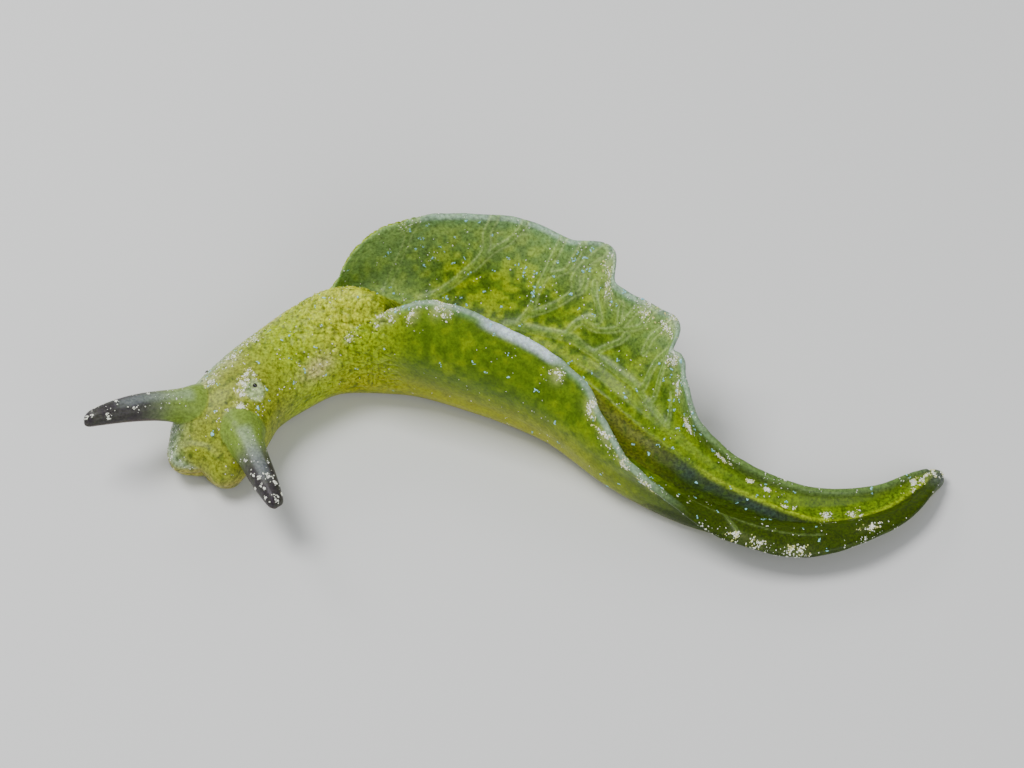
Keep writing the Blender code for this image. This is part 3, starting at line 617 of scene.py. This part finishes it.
# Clearer, paler green of the flaps' inner faces towards their margins, also used as painted light on their
# front
FLAP_CLEAR_AND_PAINTED_LIGHT = (128, 160, 92)
MARGIN_BLUE = (104, 144, 92)
VESSEL_CLEAR = (118, 146, 68)
VESSEL_PALE = (176, 200, 120)
TAIL_OLIVE = (46, 62, 0)
TAIL_BAND = (98, 126, 0)
TAIL_MARGIN = (96, 116, 62)
# Painted shade: dark blue-grey for the shaded floor of the tail's trough
TAIL_TROUGH_SHADE = (42, 60, 44)
# Painted highlight: bright yellow for the edge along the tail's crease catching the light
CREASE_HIGHLIGHT = (156, 176, 22)
TAIL_TIP_GREY = (84, 92, 84)
FEELER_BASE = (116, 140, 52)
FEELER_LIGHT = (100, 112, 76)
FEELER_DARK = (50, 42, 50)
FEELER_UNDER = (96, 76, 66)
# Painted highlight for the rhinophores' upward faces
FEELER_TOP_HIGHLIGHT = (186, 200, 200)
PALE_PATCH = (206, 196, 130)
EYE_PATCH = (172, 190, 132)
HAZE = (196, 200, 140)
RIM_WHITE = (206, 222, 226)
DARK_GREEN = (58, 82, 6)
GRANULE_WHITE, GRANULE_CREAM, DOT_BLUE = (246, 248, 232), (220, 220, 132), (150, 216, 224)
EYE_BLACK, FLOOR_PALE = (6, 6, 8), (222, 222, 220)
TAIL_BEGINS = (25.5, 29.0)


def linear(colour):
    """Return a colour as seen as the linear values that a material takes."""
    share = np.array(colour, float) / 255
    return np.where(share <= 0.04045, share / 12.92, ((share + 0.055) / 1.055) ** 2.4)


def painted(colours, layers):
    """Return colours moved in turn towards each layer's target, by its share from 0 to 1 at each point."""
    for target, share in layers:
        colours = colours + (linear(target) - colours) * np.clip(share, 0.0, 1.0)[:, None]
    return colours


class Skin:
    """The skin's points and what each knows of its own place."""

    def __init__(self, points, quads, knows, kinds):
        self.points, self.quads = points, quads
        self.s, self.v, self.face = knows.T
        self.kinds = kinds
        self.links = links_of(quads)
        self.normals = normals_of(points, quads)
        self.body, self.right, self.left = (kinds == kind for kind in (ON_BODY, *ON_FLAPS))
        self.flap, self.feeler = np.isin(kinds, ON_FLAPS), np.isin(kinds, ON_FEELERS)
        self.inner = self.flap & (self.face > 0.5)
        self.outer = self.flap & (self.face <= 0.5)

    def near(self, mask, s, v, s_half, v_half):
        """Return 1 at a place on one kind of surface, falling softly to 0 round it."""
        return mask * np.exp(-((self.s - s) / s_half) ** 2 - ((self.v - v) / v_half) ** 2)


def make_skin_points():
    """Build the whole skin and look up each point's place."""
    sources = joined([body_form(), flap_form(1), flap_form(-1), feeler_form(1), feeler_form(-1)])
    points, quads = fused(sources[0], sources[1])
    links = links_of(quads)
    points = smoothed(points, links, SMOOTH_ROUNDS)
    knows, kinds = looked_up(points, *sources)
    points = smoothed(points, links, ROOT_ROUNDS, root_softness(knows, kinds, links))
    points = wrinkled(Skin(points, quads, knows, kinds))
    points[:, 2] = np.maximum(points[:, 2], 0.0)
    return Skin(points, quads, knows, kinds)


def furrows(points):
    """Return 1 in the furrows between the skin's wrinkles and 0 on them."""
    line = np.abs(speckle(points, WRINKLE_CELL, 61) - 0.5) * 2
    cross = np.abs(speckle(points, WRINKLE_CELL * 0.6, 62) - 0.5) * 2
    return np.maximum(fall(line, 0.0, 0.3), 0.6 * fall(cross, 0.0, 0.25))


def wrinkled(skin):
    """Return the skin's points with the wrinkles of the neck and head pressed in."""
    share = span(skin.s, 5.0, 8.0, 12.0, 14.0, skin.body | skin.outer)
    share = share * ramp(skin.points[:, 2], 0.8, 2.0)
    return skin.points - skin.normals * (WRINKLE_RISE * share * furrows(skin.points))[:, None]


def root_softness(knows, kinds, links):
    """Return how strongly the skin is evened out where flaps and feelers grow out of the body."""
    s, v, face = knows.T
    flap, feeler = np.isin(kinds, ON_FLAPS), np.isin(kinds, ON_FEELERS)
    side = (kinds == ON_BODY) * ramp(s, 8.0, 9.0) * bump(np.sin(np.radians(v)), 0.1, 0.35)
    soft = side + flap * fall(v, 0.12, 0.4) * (1 - face * 0.6) + feeler * fall(face, 0.05, 0.14)
    soft = soft + flap * fall(s, 9.6, 11.2) * (1 - face)
    return 0.5 * smoothed(np.clip(soft, 0.0, 1.0)[:, None], links, 3)


def body_colours(skin, colours):
    """Colour the body: head with a painted highlight on its upper rim, neck, back, flanks, sole, a painted
    highlight along the tail's crease and painted shade in the tail's trough.
    """
    s, angle, body, z = skin.s, skin.v, skin.body, skin.points[:, 2]
    sine, beyond = np.sin(np.radians(angle)), angle - CREASE_AT(s)[:, 0]
    tail = body * ramp(s, 16.0, 22.0)
    trough = span(s, 15.0, 22.0, 31.5, 34.0, body) * bump(beyond, 17.0, 14.0)
    return painted(colours, [
        (NECK_GREEN, body * fall(s, 11.0, 13.0)),
        (HEAD_GREEN, body * fall(s, 4.5, 7.5)),
        # Painted highlight along the head's upper far side, partly its whitish-blue glitter
        (HEAD_RIM_GLITTER_AND_HIGHLIGHT, body * fall(s, 4.5, 7.0) * bump(angle, 28, 22) * 0.7),
        (LIP_TAN, body * fall(s, 1.0, 1.9) * bump(z, 0.75, 0.4) * 0.6),
        (BACK_YELLOW, body * bump(s, 10.2, 2.2) * ramp(sine, 0.3, 0.9) * 0.8),
        (TAIL_OLIVE, tail * ramp(beyond, 0.0, 8.0)),
        (TAIL_BAND, tail * fall(beyond, -6.0, 3.0) * ramp(sine, -0.2, 0.3)),
        # Painted shade on the floor of the tail's trough, unevenly dark
        (TAIL_TROUGH_SHADE, trough * (0.5 + 0.6 * ramp(speckle(skin.points, 0.7, 11), 0.3, 0.6))),
        # Painted highlight along the ridge of the tail's crease
        (CREASE_HIGHLIGHT, tail * ramp(s, 27.0, 29.0) * bump(beyond, -3.0, 6.0) * 0.9),
        (SOLE_PALE, body * (skin.normals[:, 2] < -0.5)),
        (FOOT_RIM, body * (sine < 0) * bump(z, 0.2, 0.16) * 0.5)])


def flap_colours(skin, colours):
    """Colour the flaps: outer faces, mottled inner faces and margins, with painted light on the front of the
    inner faces.
    """
    s, v, outer, inner, left, right = skin.s, skin.v, skin.outer, skin.inner, skin.left, skin.right
    coarse, grain = speckle(skin.points, 1.3, 21), speckle(skin.points, 0.27, 22)
    fine = grain * 0.85 + coarse * 0.15
    tail = ramp(s, *TAIL_BEGINS)
    yellow = ramp(grain * 0.7 + coarse * 0.3, 0.44, 0.68) * (0.9 - 0.6 * ramp(s, 18.5, 22.5))
    edge = ramp(v, 0.94, 1.0) * outer + ramp(v, 0.9, 1.0) * inner
    line = skin.flap * ramp(v, 0.985, 1.0) * ramp(s, 12.2, 13.4) * (1 - tail)
    return painted(colours, [
        (FLANK_GREEN, outer),
        (FLAP_YELLOW, outer * ramp(grain * 0.6 + coarse * 0.4, 0.5, 0.72) * 0.35),
        (DARK_GREEN, outer * fall(fine, 0.28, 0.5) * 0.5),
        (NECK_GREEN, outer * fall(s, 11.5, 14.5)),
        (FLAP_GREEN, inner),
        (FLAP_YELLOW, inner * yellow),
        (FLAP_DARK, inner * fall(fine, 0.26, 0.5) * 0.6),
        (FLAP_CLEAR_AND_PAINTED_LIGHT, inner * (1 - tail) * ramp(v, 0.45, 0.95) * 0.6),
        # Painted light: the front of the inner faces made paler to stand in for light where they lie in shade
        (FLAP_CLEAR_AND_PAINTED_LIGHT, inner * fall(s, 12.0, 14.5) * 0.6),
        (TAIL_OLIVE, left * tail * 0.95),
        (TAIL_BAND, right * tail * (0.55 + 0.3 * outer)),
        (TAIL_MARGIN, right * tail * ramp(v, 0.45, 0.85) * 0.7),
        (MARGIN_BLUE, edge * ramp(s, 12.0, 13.4) * 0.7 * (1 - tail * (0.7 + 0.3 * left))),
        (RIM_WHITE, line * 0.25),
        (RIM_WHITE, left * ramp(v, 0.93, 0.99) * span(s, 16.6, 17.6, 20.3, 21.2) * 0.9)])


def vessel_colours(skin, colours):
    """Colour the clear insides of the vessels and their pale walls."""
    for side, flap in ((1, skin.right), (-1, skin.left)):
        here = np.flatnonzero(flap & skin.inner)
        inside, walls = vessels_near(side, skin.s[here], skin.v[here])
        share = 1 - 0.6 * ramp(skin.s[here], *TAIL_BEGINS)
        colours[here] = painted(colours[here], [
            (VESSEL_CLEAR, inside * 0.5 * share),
            (VESSEL_PALE, walls * (0.2 + 0.35 * skin.v[here]) * share)])
    return colours


def feeler_colours(skin, colours):
    """Colour the rhinophores: green at the root, dark slate further out, brownish below, with a painted
    highlight on top.
    """
    feeler, part, grain = skin.feeler, skin.face, speckle(skin.points, 0.3, 31)
    below = ramp(-skin.normals[:, 2], 0.0, 0.7)
    upper = bump(skin.normals[:, 2], 1.0, 0.1) * span(part, 0.02, 0.1, 0.6, 0.8)
    return painted(colours, [
        (FEELER_BASE, feeler),
        (FEELER_LIGHT, feeler * ramp(part, 0.15, 0.4)),
        (FEELER_DARK, feeler * ramp(part + 0.25 * below, 0.26, 0.58) * (0.8 + 0.2 * grain)),
        (FEELER_UNDER, feeler * below * ramp(part, 0.12, 0.35) * 0.7),
        # Painted highlight on the rhinophores' upward faces
        (FEELER_TOP_HIGHLIGHT, feeler * upper * 0.22)])


def marks(skin):
    """Return the layers of the pale patches by the eyes and neck, the hazy clusters and the grey tail tip."""
    layers = []
    for angle in EYE_ANGLE.values():
        round_eye = skin.near(skin.body, EYE_AT - 0.2, angle + (3 if angle > 90 else -3), 0.5, 15)
        layers.append((EYE_PATCH, ramp(round_eye, 0.25, 0.5) * 0.95))
    for angle in (32, 148):
        layers.append((PALE_PATCH, skin.near(skin.body, 7.7, angle, 0.9, 13) * 0.85))
    haze = np.zeros(len(skin.points))
    for kind, face, s, v, _, spread in WHITE_CLUSTERS:
        haze = np.maximum(haze, cluster_weight(skin, kind, face, s, v, spread * 0.9))
    layers.append((HAZE, haze * (0.4 - 0.3 * ramp(skin.s, 25.0, 29.0))))
    layers.append((TAIL_TIP_GREY, ramp(skin.s, 38.9, 40.2) * ~skin.feeler * 0.8))
    return layers


def skin_colours(skin):
    """Return the colour of each point of the skin."""
    flesh = skin.body | skin.outer
    low = flesh * fall(skin.points[:, 2], 0.8, 3.8) * (skin.normals[:, 2] > -0.7)
    colours = np.tile(linear(FLANK_GREEN), (len(skin.points), 1))
    colours = flap_colours(skin, body_colours(skin, colours))
    colours = painted(colours, [(FLANK_LOW, low * span(skin.s, 6.0, 11.0, 22.0, 28.0) * 0.95)])
    colours = painted(feeler_colours(skin, colours), marks(skin))
    colours = vessel_colours(skin, smoothed(colours, skin.links, 2))
    furrow = span(skin.s, 4.0, 7.0, 12.0, 14.0, flesh) * furrows(skin.points)
    dapple = fall(speckle(skin.points, 0.2, 51), 0.2, 0.42) * ~skin.feeler
    calm = 0.6 * skin.inner + 0.6 * skin.outer * ramp(skin.s, 11.0, 15.0)
    return painted(colours, [(NECK_DARK, furrow * 0.5), (DARK_GREEN, dapple * 0.55 * (1 - calm))])


# The fine mottle and the warts of the skin's material, in grains to the metre and in metres
GRAIN_SCALE, WART_SCALE, NOISE_ROUGHNESS, WART_RISE = 8000.0, 3000.0, 0.6, 0.00006


def shader_of(name):
    """Make a material and return it with its nodes, links and shader."""
    material = bpy.data.materials.new(name)
    material.use_nodes = True
    tree = material.node_tree
    return material, tree.nodes, tree.links, tree.nodes["Principled BSDF"]


def set_inputs(node, values):
    """Give a node's inputs their values by name."""
    for name, value in values.items():
        node.inputs[name].default_value = value


def noise_node(nodes, links, coordinates, scale, detail):
    """Add a noise texture in the object's own coordinates."""
    noise = nodes.new("ShaderNodeTexNoise")
    set_inputs(noise, {"Scale": scale, "Detail": detail, "Roughness": NOISE_ROUGHNESS})
    links.new(coordinates.outputs["Object"], noise.inputs["Vector"])
    return noise


def value_node(nodes, name):
    """Add a node that reads a value stored on the skin's points."""
    node = nodes.new("ShaderNodeAttribute")
    node.attribute_name = name
    return node


def skin_material():
    """Make the moist translucent skin, mottled finely over its own colours."""
    material, nodes, links, shader = shader_of("slug_skin")
    coordinates = nodes.new("ShaderNodeTexCoord")
    tint, strength = value_node(nodes, "tint"), value_node(nodes, "grain")
    grains = noise_node(nodes, links, coordinates, GRAIN_SCALE, 3.0)
    shades = nodes.new("ShaderNodeMapRange")
    set_inputs(shades, {"From Min": 0.32, "From Max": 0.68, "To Min": 0.45, "To Max": 1.6})
    links.new(grains.outputs["Fac"], shades.inputs["Value"])
    mottled = nodes.new("ShaderNodeMix")
    mottled.data_type = "RGBA"
    mottled.blend_type = "MULTIPLY"
    links.new(strength.outputs["Fac"], mottled.inputs[0])
    links.new(tint.outputs["Color"], mottled.inputs[6])
    links.new(shades.outputs["Result"], mottled.inputs[7])
    links.new(mottled.outputs[2], shader.inputs["Base Color"])
    warts = noise_node(nodes, links, coordinates, WART_SCALE, 4.0)
    relief = nodes.new("ShaderNodeBump")
    set_inputs(relief, {"Strength": 0.5, "Distance": WART_RISE})
    links.new(warts.outputs["Fac"], relief.inputs["Height"])
    links.new(relief.outputs["Normal"], shader.inputs["Normal"])
    set_inputs(shader, {"Roughness": 0.42, "Specular IOR Level": 0.16, "Metallic": 0.0,
                        "Subsurface Weight": 0.35, "Subsurface Radius": (0.6, 1.0, 0.25),
                        "Subsurface Scale": 0.00022, "Coat Weight": 0.05, "Coat Roughness": 0.2})
    return material


def plain_material(name, colour, roughness, coat=0.0):
    """Make a material of one colour."""
    material, _, _, shader = shader_of(name)
    set_inputs(shader, {"Base Color": (*linear(colour), 1.0), "Roughness": roughness,
                        "Metallic": 0.0, "Coat Weight": coat})
    return material


def mesh_piece(name, points, faces, material):
    """Make a shown piece from points in millimetres on the midline's own origin."""
    mesh = bpy.data.meshes.new(name)
    mesh.from_pydata(((points + SHIFT) * MM).tolist(), [], faces.tolist())
    mesh.materials.append(material)
    mesh.shade_smooth()
    piece = linked(name, mesh)
    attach(piece, "root")
    return piece


def make_skin(skin, nodes):
    """Make the skin piece, which stands for every node of flesh."""
    piece = mesh_piece("skin", skin.points, skin.quads, skin_material())
    tint = piece.data.attributes.new("tint", "FLOAT_COLOR", "POINT")
    colours = np.column_stack([skin_colours(skin), np.ones(len(skin.points))])
    tint.data.foreach_set("color", colours.astype(np.float32).ravel())
    grain = piece.data.attributes.new("grain", "FLOAT", "POINT")
    share = 1 - 0.5 * skin.outer * ramp(skin.s, 11.0, 15.0) - 0.25 * skin.inner - 0.4 * skin.feeler
    grain.data.foreach_set("value", share.astype(np.float32))
    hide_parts(*[name for name in nodes if not name.startswith("eye")])


# One grain's sides and its rings (height, width), and how much size, length and each point vary
GRANULE_SIDES, GRANULE_RINGS = 6, ((0.5, 0.82), (-0.4, 0.9))
GRANULE_SIZES, GRANULE_STRETCH, GRANULE_WOBBLE = 0.3, 0.25, 0.16

# Size and scatter of white grains in clusters, single and in flecks, and the grains of one fleck or blue dot
WHITE_SIZES, WHITE_SCATTER, FLECK_GRAINS, DOT_GRAINS = (0.03, 0.025, 0.036), (0.03, 0.03, 0.05), 5, 3

# Small raised granules by kind of surface and outer or inner face: distance, share or angle, count, spread
CLUSTER_PLACES = [
    ("left", 0, [
        (10.2, 0.9, 16, 0.5), (12.1, 0.97, 22, 0.35), (12.6, 0.96, 18, 0.3), (13.7, 0.92, 18, 0.3),
        (14.8, 0.97, 16, 0.3), (15.3, 0.97, 12, 0.25), (21.2, 0.9, 16, 0.35), (23.4, 0.95, 34, 0.4),
        (24.5, 0.9, 34, 0.4), (25.7, 0.93, 30, 0.4), (26.9, 0.92, 26, 0.4), (28.9, 0.8, 30, 0.4)]),
    ("left", 1, [
        (30.9, 0.9, 26, 0.45), (31.6, 0.92, 18, 0.4), (32.9, 0.95, 30, 0.45), (35.7, 0.75, 30, 0.5)]),
    ("right", 1, [
        (20.1, 0.95, 26, 0.35), (20.4, 0.9, 22, 0.4), (21.9, 0.97, 24, 0.35), (22.9, 0.95, 34, 0.4),
        (24.3, 0.95, 30, 0.45), (25.3, 0.8, 22, 0.4), (26.6, 0.6, 44, 0.35), (29.0, 0.75, 44, 0.4),
        (31.0, 0.4, 60, 0.5)]),
    ("body", 0, [(32.5, 48, 26, 0.35), (34.2, 92, 24, 0.3), (35.4, 106, 22, 0.3), (38.7, 52, 40, 0.4)]),
    ("right", 1, [(38.7, 0.4, 30, 0.4)]),
    ("body", 0, [
        (39.4, 48, 40, 0.35), (40.2, 95, 30, 0.25), (4.6, 100, 26, 0.26), (4.1, 99, 26, 0.26),
        (3.6, 105, 24, 0.26), (3.1, 111, 22, 0.26), (2.6, 116, 18, 0.26), (4.9, 60, 24, 0.5),
        (6.3, 52, 22, 0.5), (3.7, 56, 24, 0.4), (9.5, 46, 30, 0.4)]),
]
WHITE_CLUSTERS = [(kind, face, *place) for kind, face, places in CLUSTER_PLACES for place in places]


def cluster_weight(skin, kind, face, s, v, spread):
    """Return 1 in the middle of a cluster's place on the skin, falling softly to 0 round it."""
    mask = {"left": skin.left, "right": skin.right, "body": skin.body}[kind]
    if kind == "body":
        v_half = math.degrees(spread / float(BODY_AT(s)[0]))
    else:
        v_half = spread / FLAP_REACH
        mask = mask & ((skin.face > 0.5) == bool(face))
    return skin.near(mask, s, v, spread, v_half)


def spots_near(skin, kind, face, s, v, count, spread, chance):
    """Return points of the skin picked at random round one place."""
    weight = cluster_weight(skin, kind, face, s, v, spread * 0.8) ** 1.5
    weight = weight * ramp(speckle(skin.points, 0.2, 41), 0.4, 0.6)
    if weight.sum() < 1e-6:
        return np.empty(0, int)
    return chance.choice(len(weight), size=count * 2, p=weight / weight.sum())


def scattered(places, chance):
    """Return points of the skin picked at random by weight, for each pair of a weight and a count."""
    return [chance.choice(len(weight), size=count, p=weight / weight.sum()) for weight, count in places]


def granule_form():
    """Return the points and faces of one grain: two tips and two rings between them."""
    turns = np.linspace(0, 2 * math.pi, GRANULE_SIDES, endpoint=False)
    points = [(0, 0, 1), (0, 0, -1)]
    for z, wide in GRANULE_RINGS:
        points += [(math.cos(turn) * wide, math.sin(turn) * wide, z) for turn in turns]
    faces = []
    for j in range(GRANULE_SIDES):
        a, b = 2 + j, 2 + (j + 1) % GRANULE_SIDES
        c, d = a + GRANULE_SIDES, b + GRANULE_SIDES
        faces += [(0, a, b), (a, c, b), (b, c, d), (1, d, c)]
    return np.array(points), np.array(faces)


def granules(name, skin, picks, sizes, flat, scatter, material, chance):
    """Make one piece of small flattened grains that sit on the skin, each a little off its own pick."""
    count = len(picks)
    base, base_faces = granule_form()
    normal = skin.normals[picks]
    other = unit(np.cross(normal, chance.normal(size=(count, 3))))
    third = np.cross(normal, other)
    size = sizes * np.exp(chance.normal(0, GRANULE_SIZES, count))
    stretch = np.exp(chance.normal(0, GRANULE_STRETCH, count))[:, None, None]
    jitter = chance.normal(0, 1, (count, 2)) * np.broadcast_to(scatter, count)[:, None]
    centre = skin.points[picks] + other * jitter[:, :1] + third * jitter[:, 1:]
    wobble = 1 + chance.normal(0, GRANULE_WOBBLE, (count, len(base), 1))
    local = base[None] * wobble * size[:, None, None]
    points = centre[:, None] + other[:, None] * (local[..., :1] * stretch)
    points = points + third[:, None] * (local[..., 1:2] / stretch) + normal[:, None] * local[..., 2:] * flat
    points = points.reshape(-1, 3)
    points[:, 2] = np.maximum(points[:, 2], 0.0)
    faces = (base_faces[None] + (np.arange(count) * len(base))[:, None, None]).reshape(-1, 3)
    mesh_piece(name, kept_inside(points), faces, material)


def kept_inside(points):
    """Return points held inside the CAD part's own box."""
    return np.clip(points, LOW, HIGH)


def facing_up(skin):
    """Return which points look up, loosely and strictly, and an uneven scatter over the skin."""
    up = skin.normals[:, 2]
    return ramp(up, -0.2, 0.6), ramp(up, 0.1, 0.8), ramp(speckle(skin.points, 0.7, 42), 0.5, 0.75)


def white_picks(skin, chance):
    """Pick the places of the white granules: in clusters, single ones and flecks on the feelers."""
    s, v, inner, outer, flaps = skin.s, skin.v, skin.inner, skin.outer, skin.flap
    top, upper, uneven = facing_up(skin)
    right, left = (skin.kinds == kind for kind in ON_FEELERS)
    far = ramp(skin.face, 0.35, 0.9)
    clusters = [spots_near(skin, *cluster, chance) for cluster in WHITE_CLUSTERS]
    single = scattered([
        (inner * (s < 29) * (0.15 + uneven), 300),
        (flaps * (v > 0.96) * (s > 10) * (0.1 + uneven), 460),
        (outer * skin.left * (s < 30) * uneven, 70),
        ((s > 29) * flaps * uneven, 120),
        (right * upper * ramp(skin.face, 0.0, 0.2), 50),
        (left * upper * ramp(skin.face, 0.0, 0.2), 40),
        (skin.body * (s < 11) * top * (0.05 + uneven), 240),
        (skin.body * (s < 7) * bump(v, 20, 18), 220)], chance)
    flecks = scattered([(right * far * (0.3 + upper), 15), (left * far * (0.3 + upper), 20)], chance)
    return np.concatenate(clusters), np.concatenate(single), np.repeat(np.concatenate(flecks), FLECK_GRAINS)


def cream_picks(skin, chance):
    """Pick the places of the cream granules, spread wider round the white clusters."""
    return np.concatenate([spots_near(skin, kind, face, s, v, count // 2, spread * 1.3, chance)
                           for kind, face, s, v, count, spread in WHITE_CLUSTERS])


def blue_picks(skin, chance):
    """Pick the places of the light blue dots."""
    s, v, inner, right = skin.s, skin.v, skin.inner, skin.right
    top, _, uneven = facing_up(skin)
    return np.repeat(np.concatenate(scattered([
        (inner * right * (s > 10) * (s < 26) * (0.2 + uneven), 90),
        (skin.body * (s > 1.5) * (s < 12) * top, 50),
        ((s > 20) * (s < 34) * (skin.body | inner) * top, 44),
        ((s > 26) * right * inner * bump(v, 0.8, 0.12), 12),
        (skin.left * skin.outer * (s < 28), 24)], chance)), DOT_GRAINS)


def make_granules(skin):
    """Scatter the white and cream granules and the light blue dots."""
    chance = np.random.default_rng(7)
    groups = white_picks(skin, chance)
    counts = [len(group) for group in groups]
    sizes, scatter = (np.repeat(values, counts) for values in (WHITE_SIZES, WHITE_SCATTER))
    cream, dots = cream_picks(skin, chance), blue_picks(skin, chance)
    granules("white_granules", skin, np.concatenate(groups), sizes, 0.6, scatter,
             plain_material("granule_white", GRANULE_WHITE, 0.35), chance)
    granules("cream_granules", skin, cream, 0.03, 0.55, 0.03,
             plain_material("granule_cream", GRANULE_CREAM, 0.4), chance)
    granules("blue_dots", skin, dots, 0.036, 0.5, 0.045,
             plain_material("dot_blue", DOT_BLUE, 0.3, coat=0.5), chance)


def make_eye(name, side, material):
    """Make one glossy black eye, as it shows through the skin of the head."""
    centre = placed(EYE_AT, *section_point(EYE_AT, EYE_ANGLE[side], swell=-EYE_SINK))
    pitches = np.linspace(EYE_POLE, math.pi - EYE_POLE, EYE_ROWS)
    turns = np.linspace(0, 2 * math.pi, EYE_SIDES, endpoint=False)
    pitch, turn = np.meshgrid(pitches, turns, indexing="ij")
    wide = EYE_BALL[0] * np.sin(pitch)
    grid = np.stack([wide * np.cos(turn), wide * np.sin(turn), EYE_BALL[1] * np.cos(pitch)], axis=-1) + centre
    points, faces = tube(grid, np.zeros((EYE_ROWS, EYE_SIDES, 1)), ON_BODY)[:2]
    piece = mesh_piece(name, points, faces, material)
    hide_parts(name.replace("_ball", ""))


# Studio: each light's name, place, size and power, and the photo's camera
LIGHTS = [("key", (-0.12, 0.04, 0.22), 0.12, 0.62),
          ("fill", (0.10, -0.20, 0.14), 0.18, 0.34),
          ("rim", (-0.14, 0.16, 0.10), 0.06, 0.12)]
FLOOR_SIZE, SKY_COLOUR, SKY_STRENGTH = 0.9, (0.9, 0.94, 1.0, 1.0), 0.35
CAMERA_RISE, CAMERA_DISTANCE, SENSOR_WIDTH = math.radians(50), 0.30, 36.0
PHOTO_WIDTH, PIXEL = 1024, 0.045


def area_light(name, at, size, power):
    """Add a soft square light that faces the slug."""
    lamp = bpy.data.lights.new(name, "AREA")
    lamp.size = size
    lamp.energy = power
    light = linked(name, lamp)
    light.location = at
    light.rotation_euler = (-Vector(at)).to_track_quat("-Z", "Y").to_euler()


def photo_camera():
    """Add the camera at the photo's angle and with its framing."""
    camera = linked("camera", bpy.data.cameras.new("camera"))
    back = Vector((0.0, -math.cos(CAMERA_RISE), math.sin(CAMERA_RISE)))
    camera.location = Vector(tuple(SHIFT * MM)) + back * CAMERA_DISTANCE
    camera.rotation_euler = (-back).to_track_quat("-Z", "Y").to_euler()
    camera.data.sensor_width = SENSOR_WIDTH
    camera.data.lens = SENSOR_WIDTH * CAMERA_DISTANCE / (PHOTO_WIDTH * PIXEL * MM)
    camera.data.clip_start = 0.01
    bpy.context.scene.camera = camera


def studio():
    """Add the floor, the lights and the camera."""
    bpy.ops.mesh.primitive_plane_add(size=FLOOR_SIZE, location=(0.0, 0.0, 0.0))
    floor = bpy.context.object
    floor.name = "floor"
    floor.data.materials.append(plain_material("floor_pale", FLOOR_PALE, 0.7))
    world = bpy.data.worlds.new("studio")
    world.use_nodes = True
    set_inputs(world.node_tree.nodes["Background"], {"Color": SKY_COLOUR, "Strength": SKY_STRENGTH})
    bpy.context.scene.world = world
    for name, at, size, power in LIGHTS:
        area_light(name, at, size, power)
    photo_camera()


def clear_scene():
    """Remove whatever the file starts with."""
    for old in list(bpy.data.objects):
        bpy.data.objects.remove(old)


def frame_shift():
    """Return the move from the midline's origin to the frame's, read off the right eye."""
    low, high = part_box("eye_right")
    eye = placed(EYE_AT, *section_point(EYE_AT, EYE_ANGLE[1], swell=-EYE_SINK))
    shift = np.array((low + high) / 2) / MM - eye
    shift[2] = 0.0
    return shift


clear_scene()
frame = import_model()
start_bounds = [list(corner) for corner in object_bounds()]
SHIFT = frame_shift()
LOW, HIGH = (np.array(corner) / MM - SHIFT for corner in start_bounds)
whole = make_skin_points()
whole.points = kept_inside(whole.points)
make_skin(whole, frame["nodes"])
make_granules(whole)
black = plain_material("eye_black", EYE_BLACK, 0.12, coat=0.6)
make_eye("eye_right_ball", 1, black)
make_eye("eye_left_ball", -1, black)
studio()
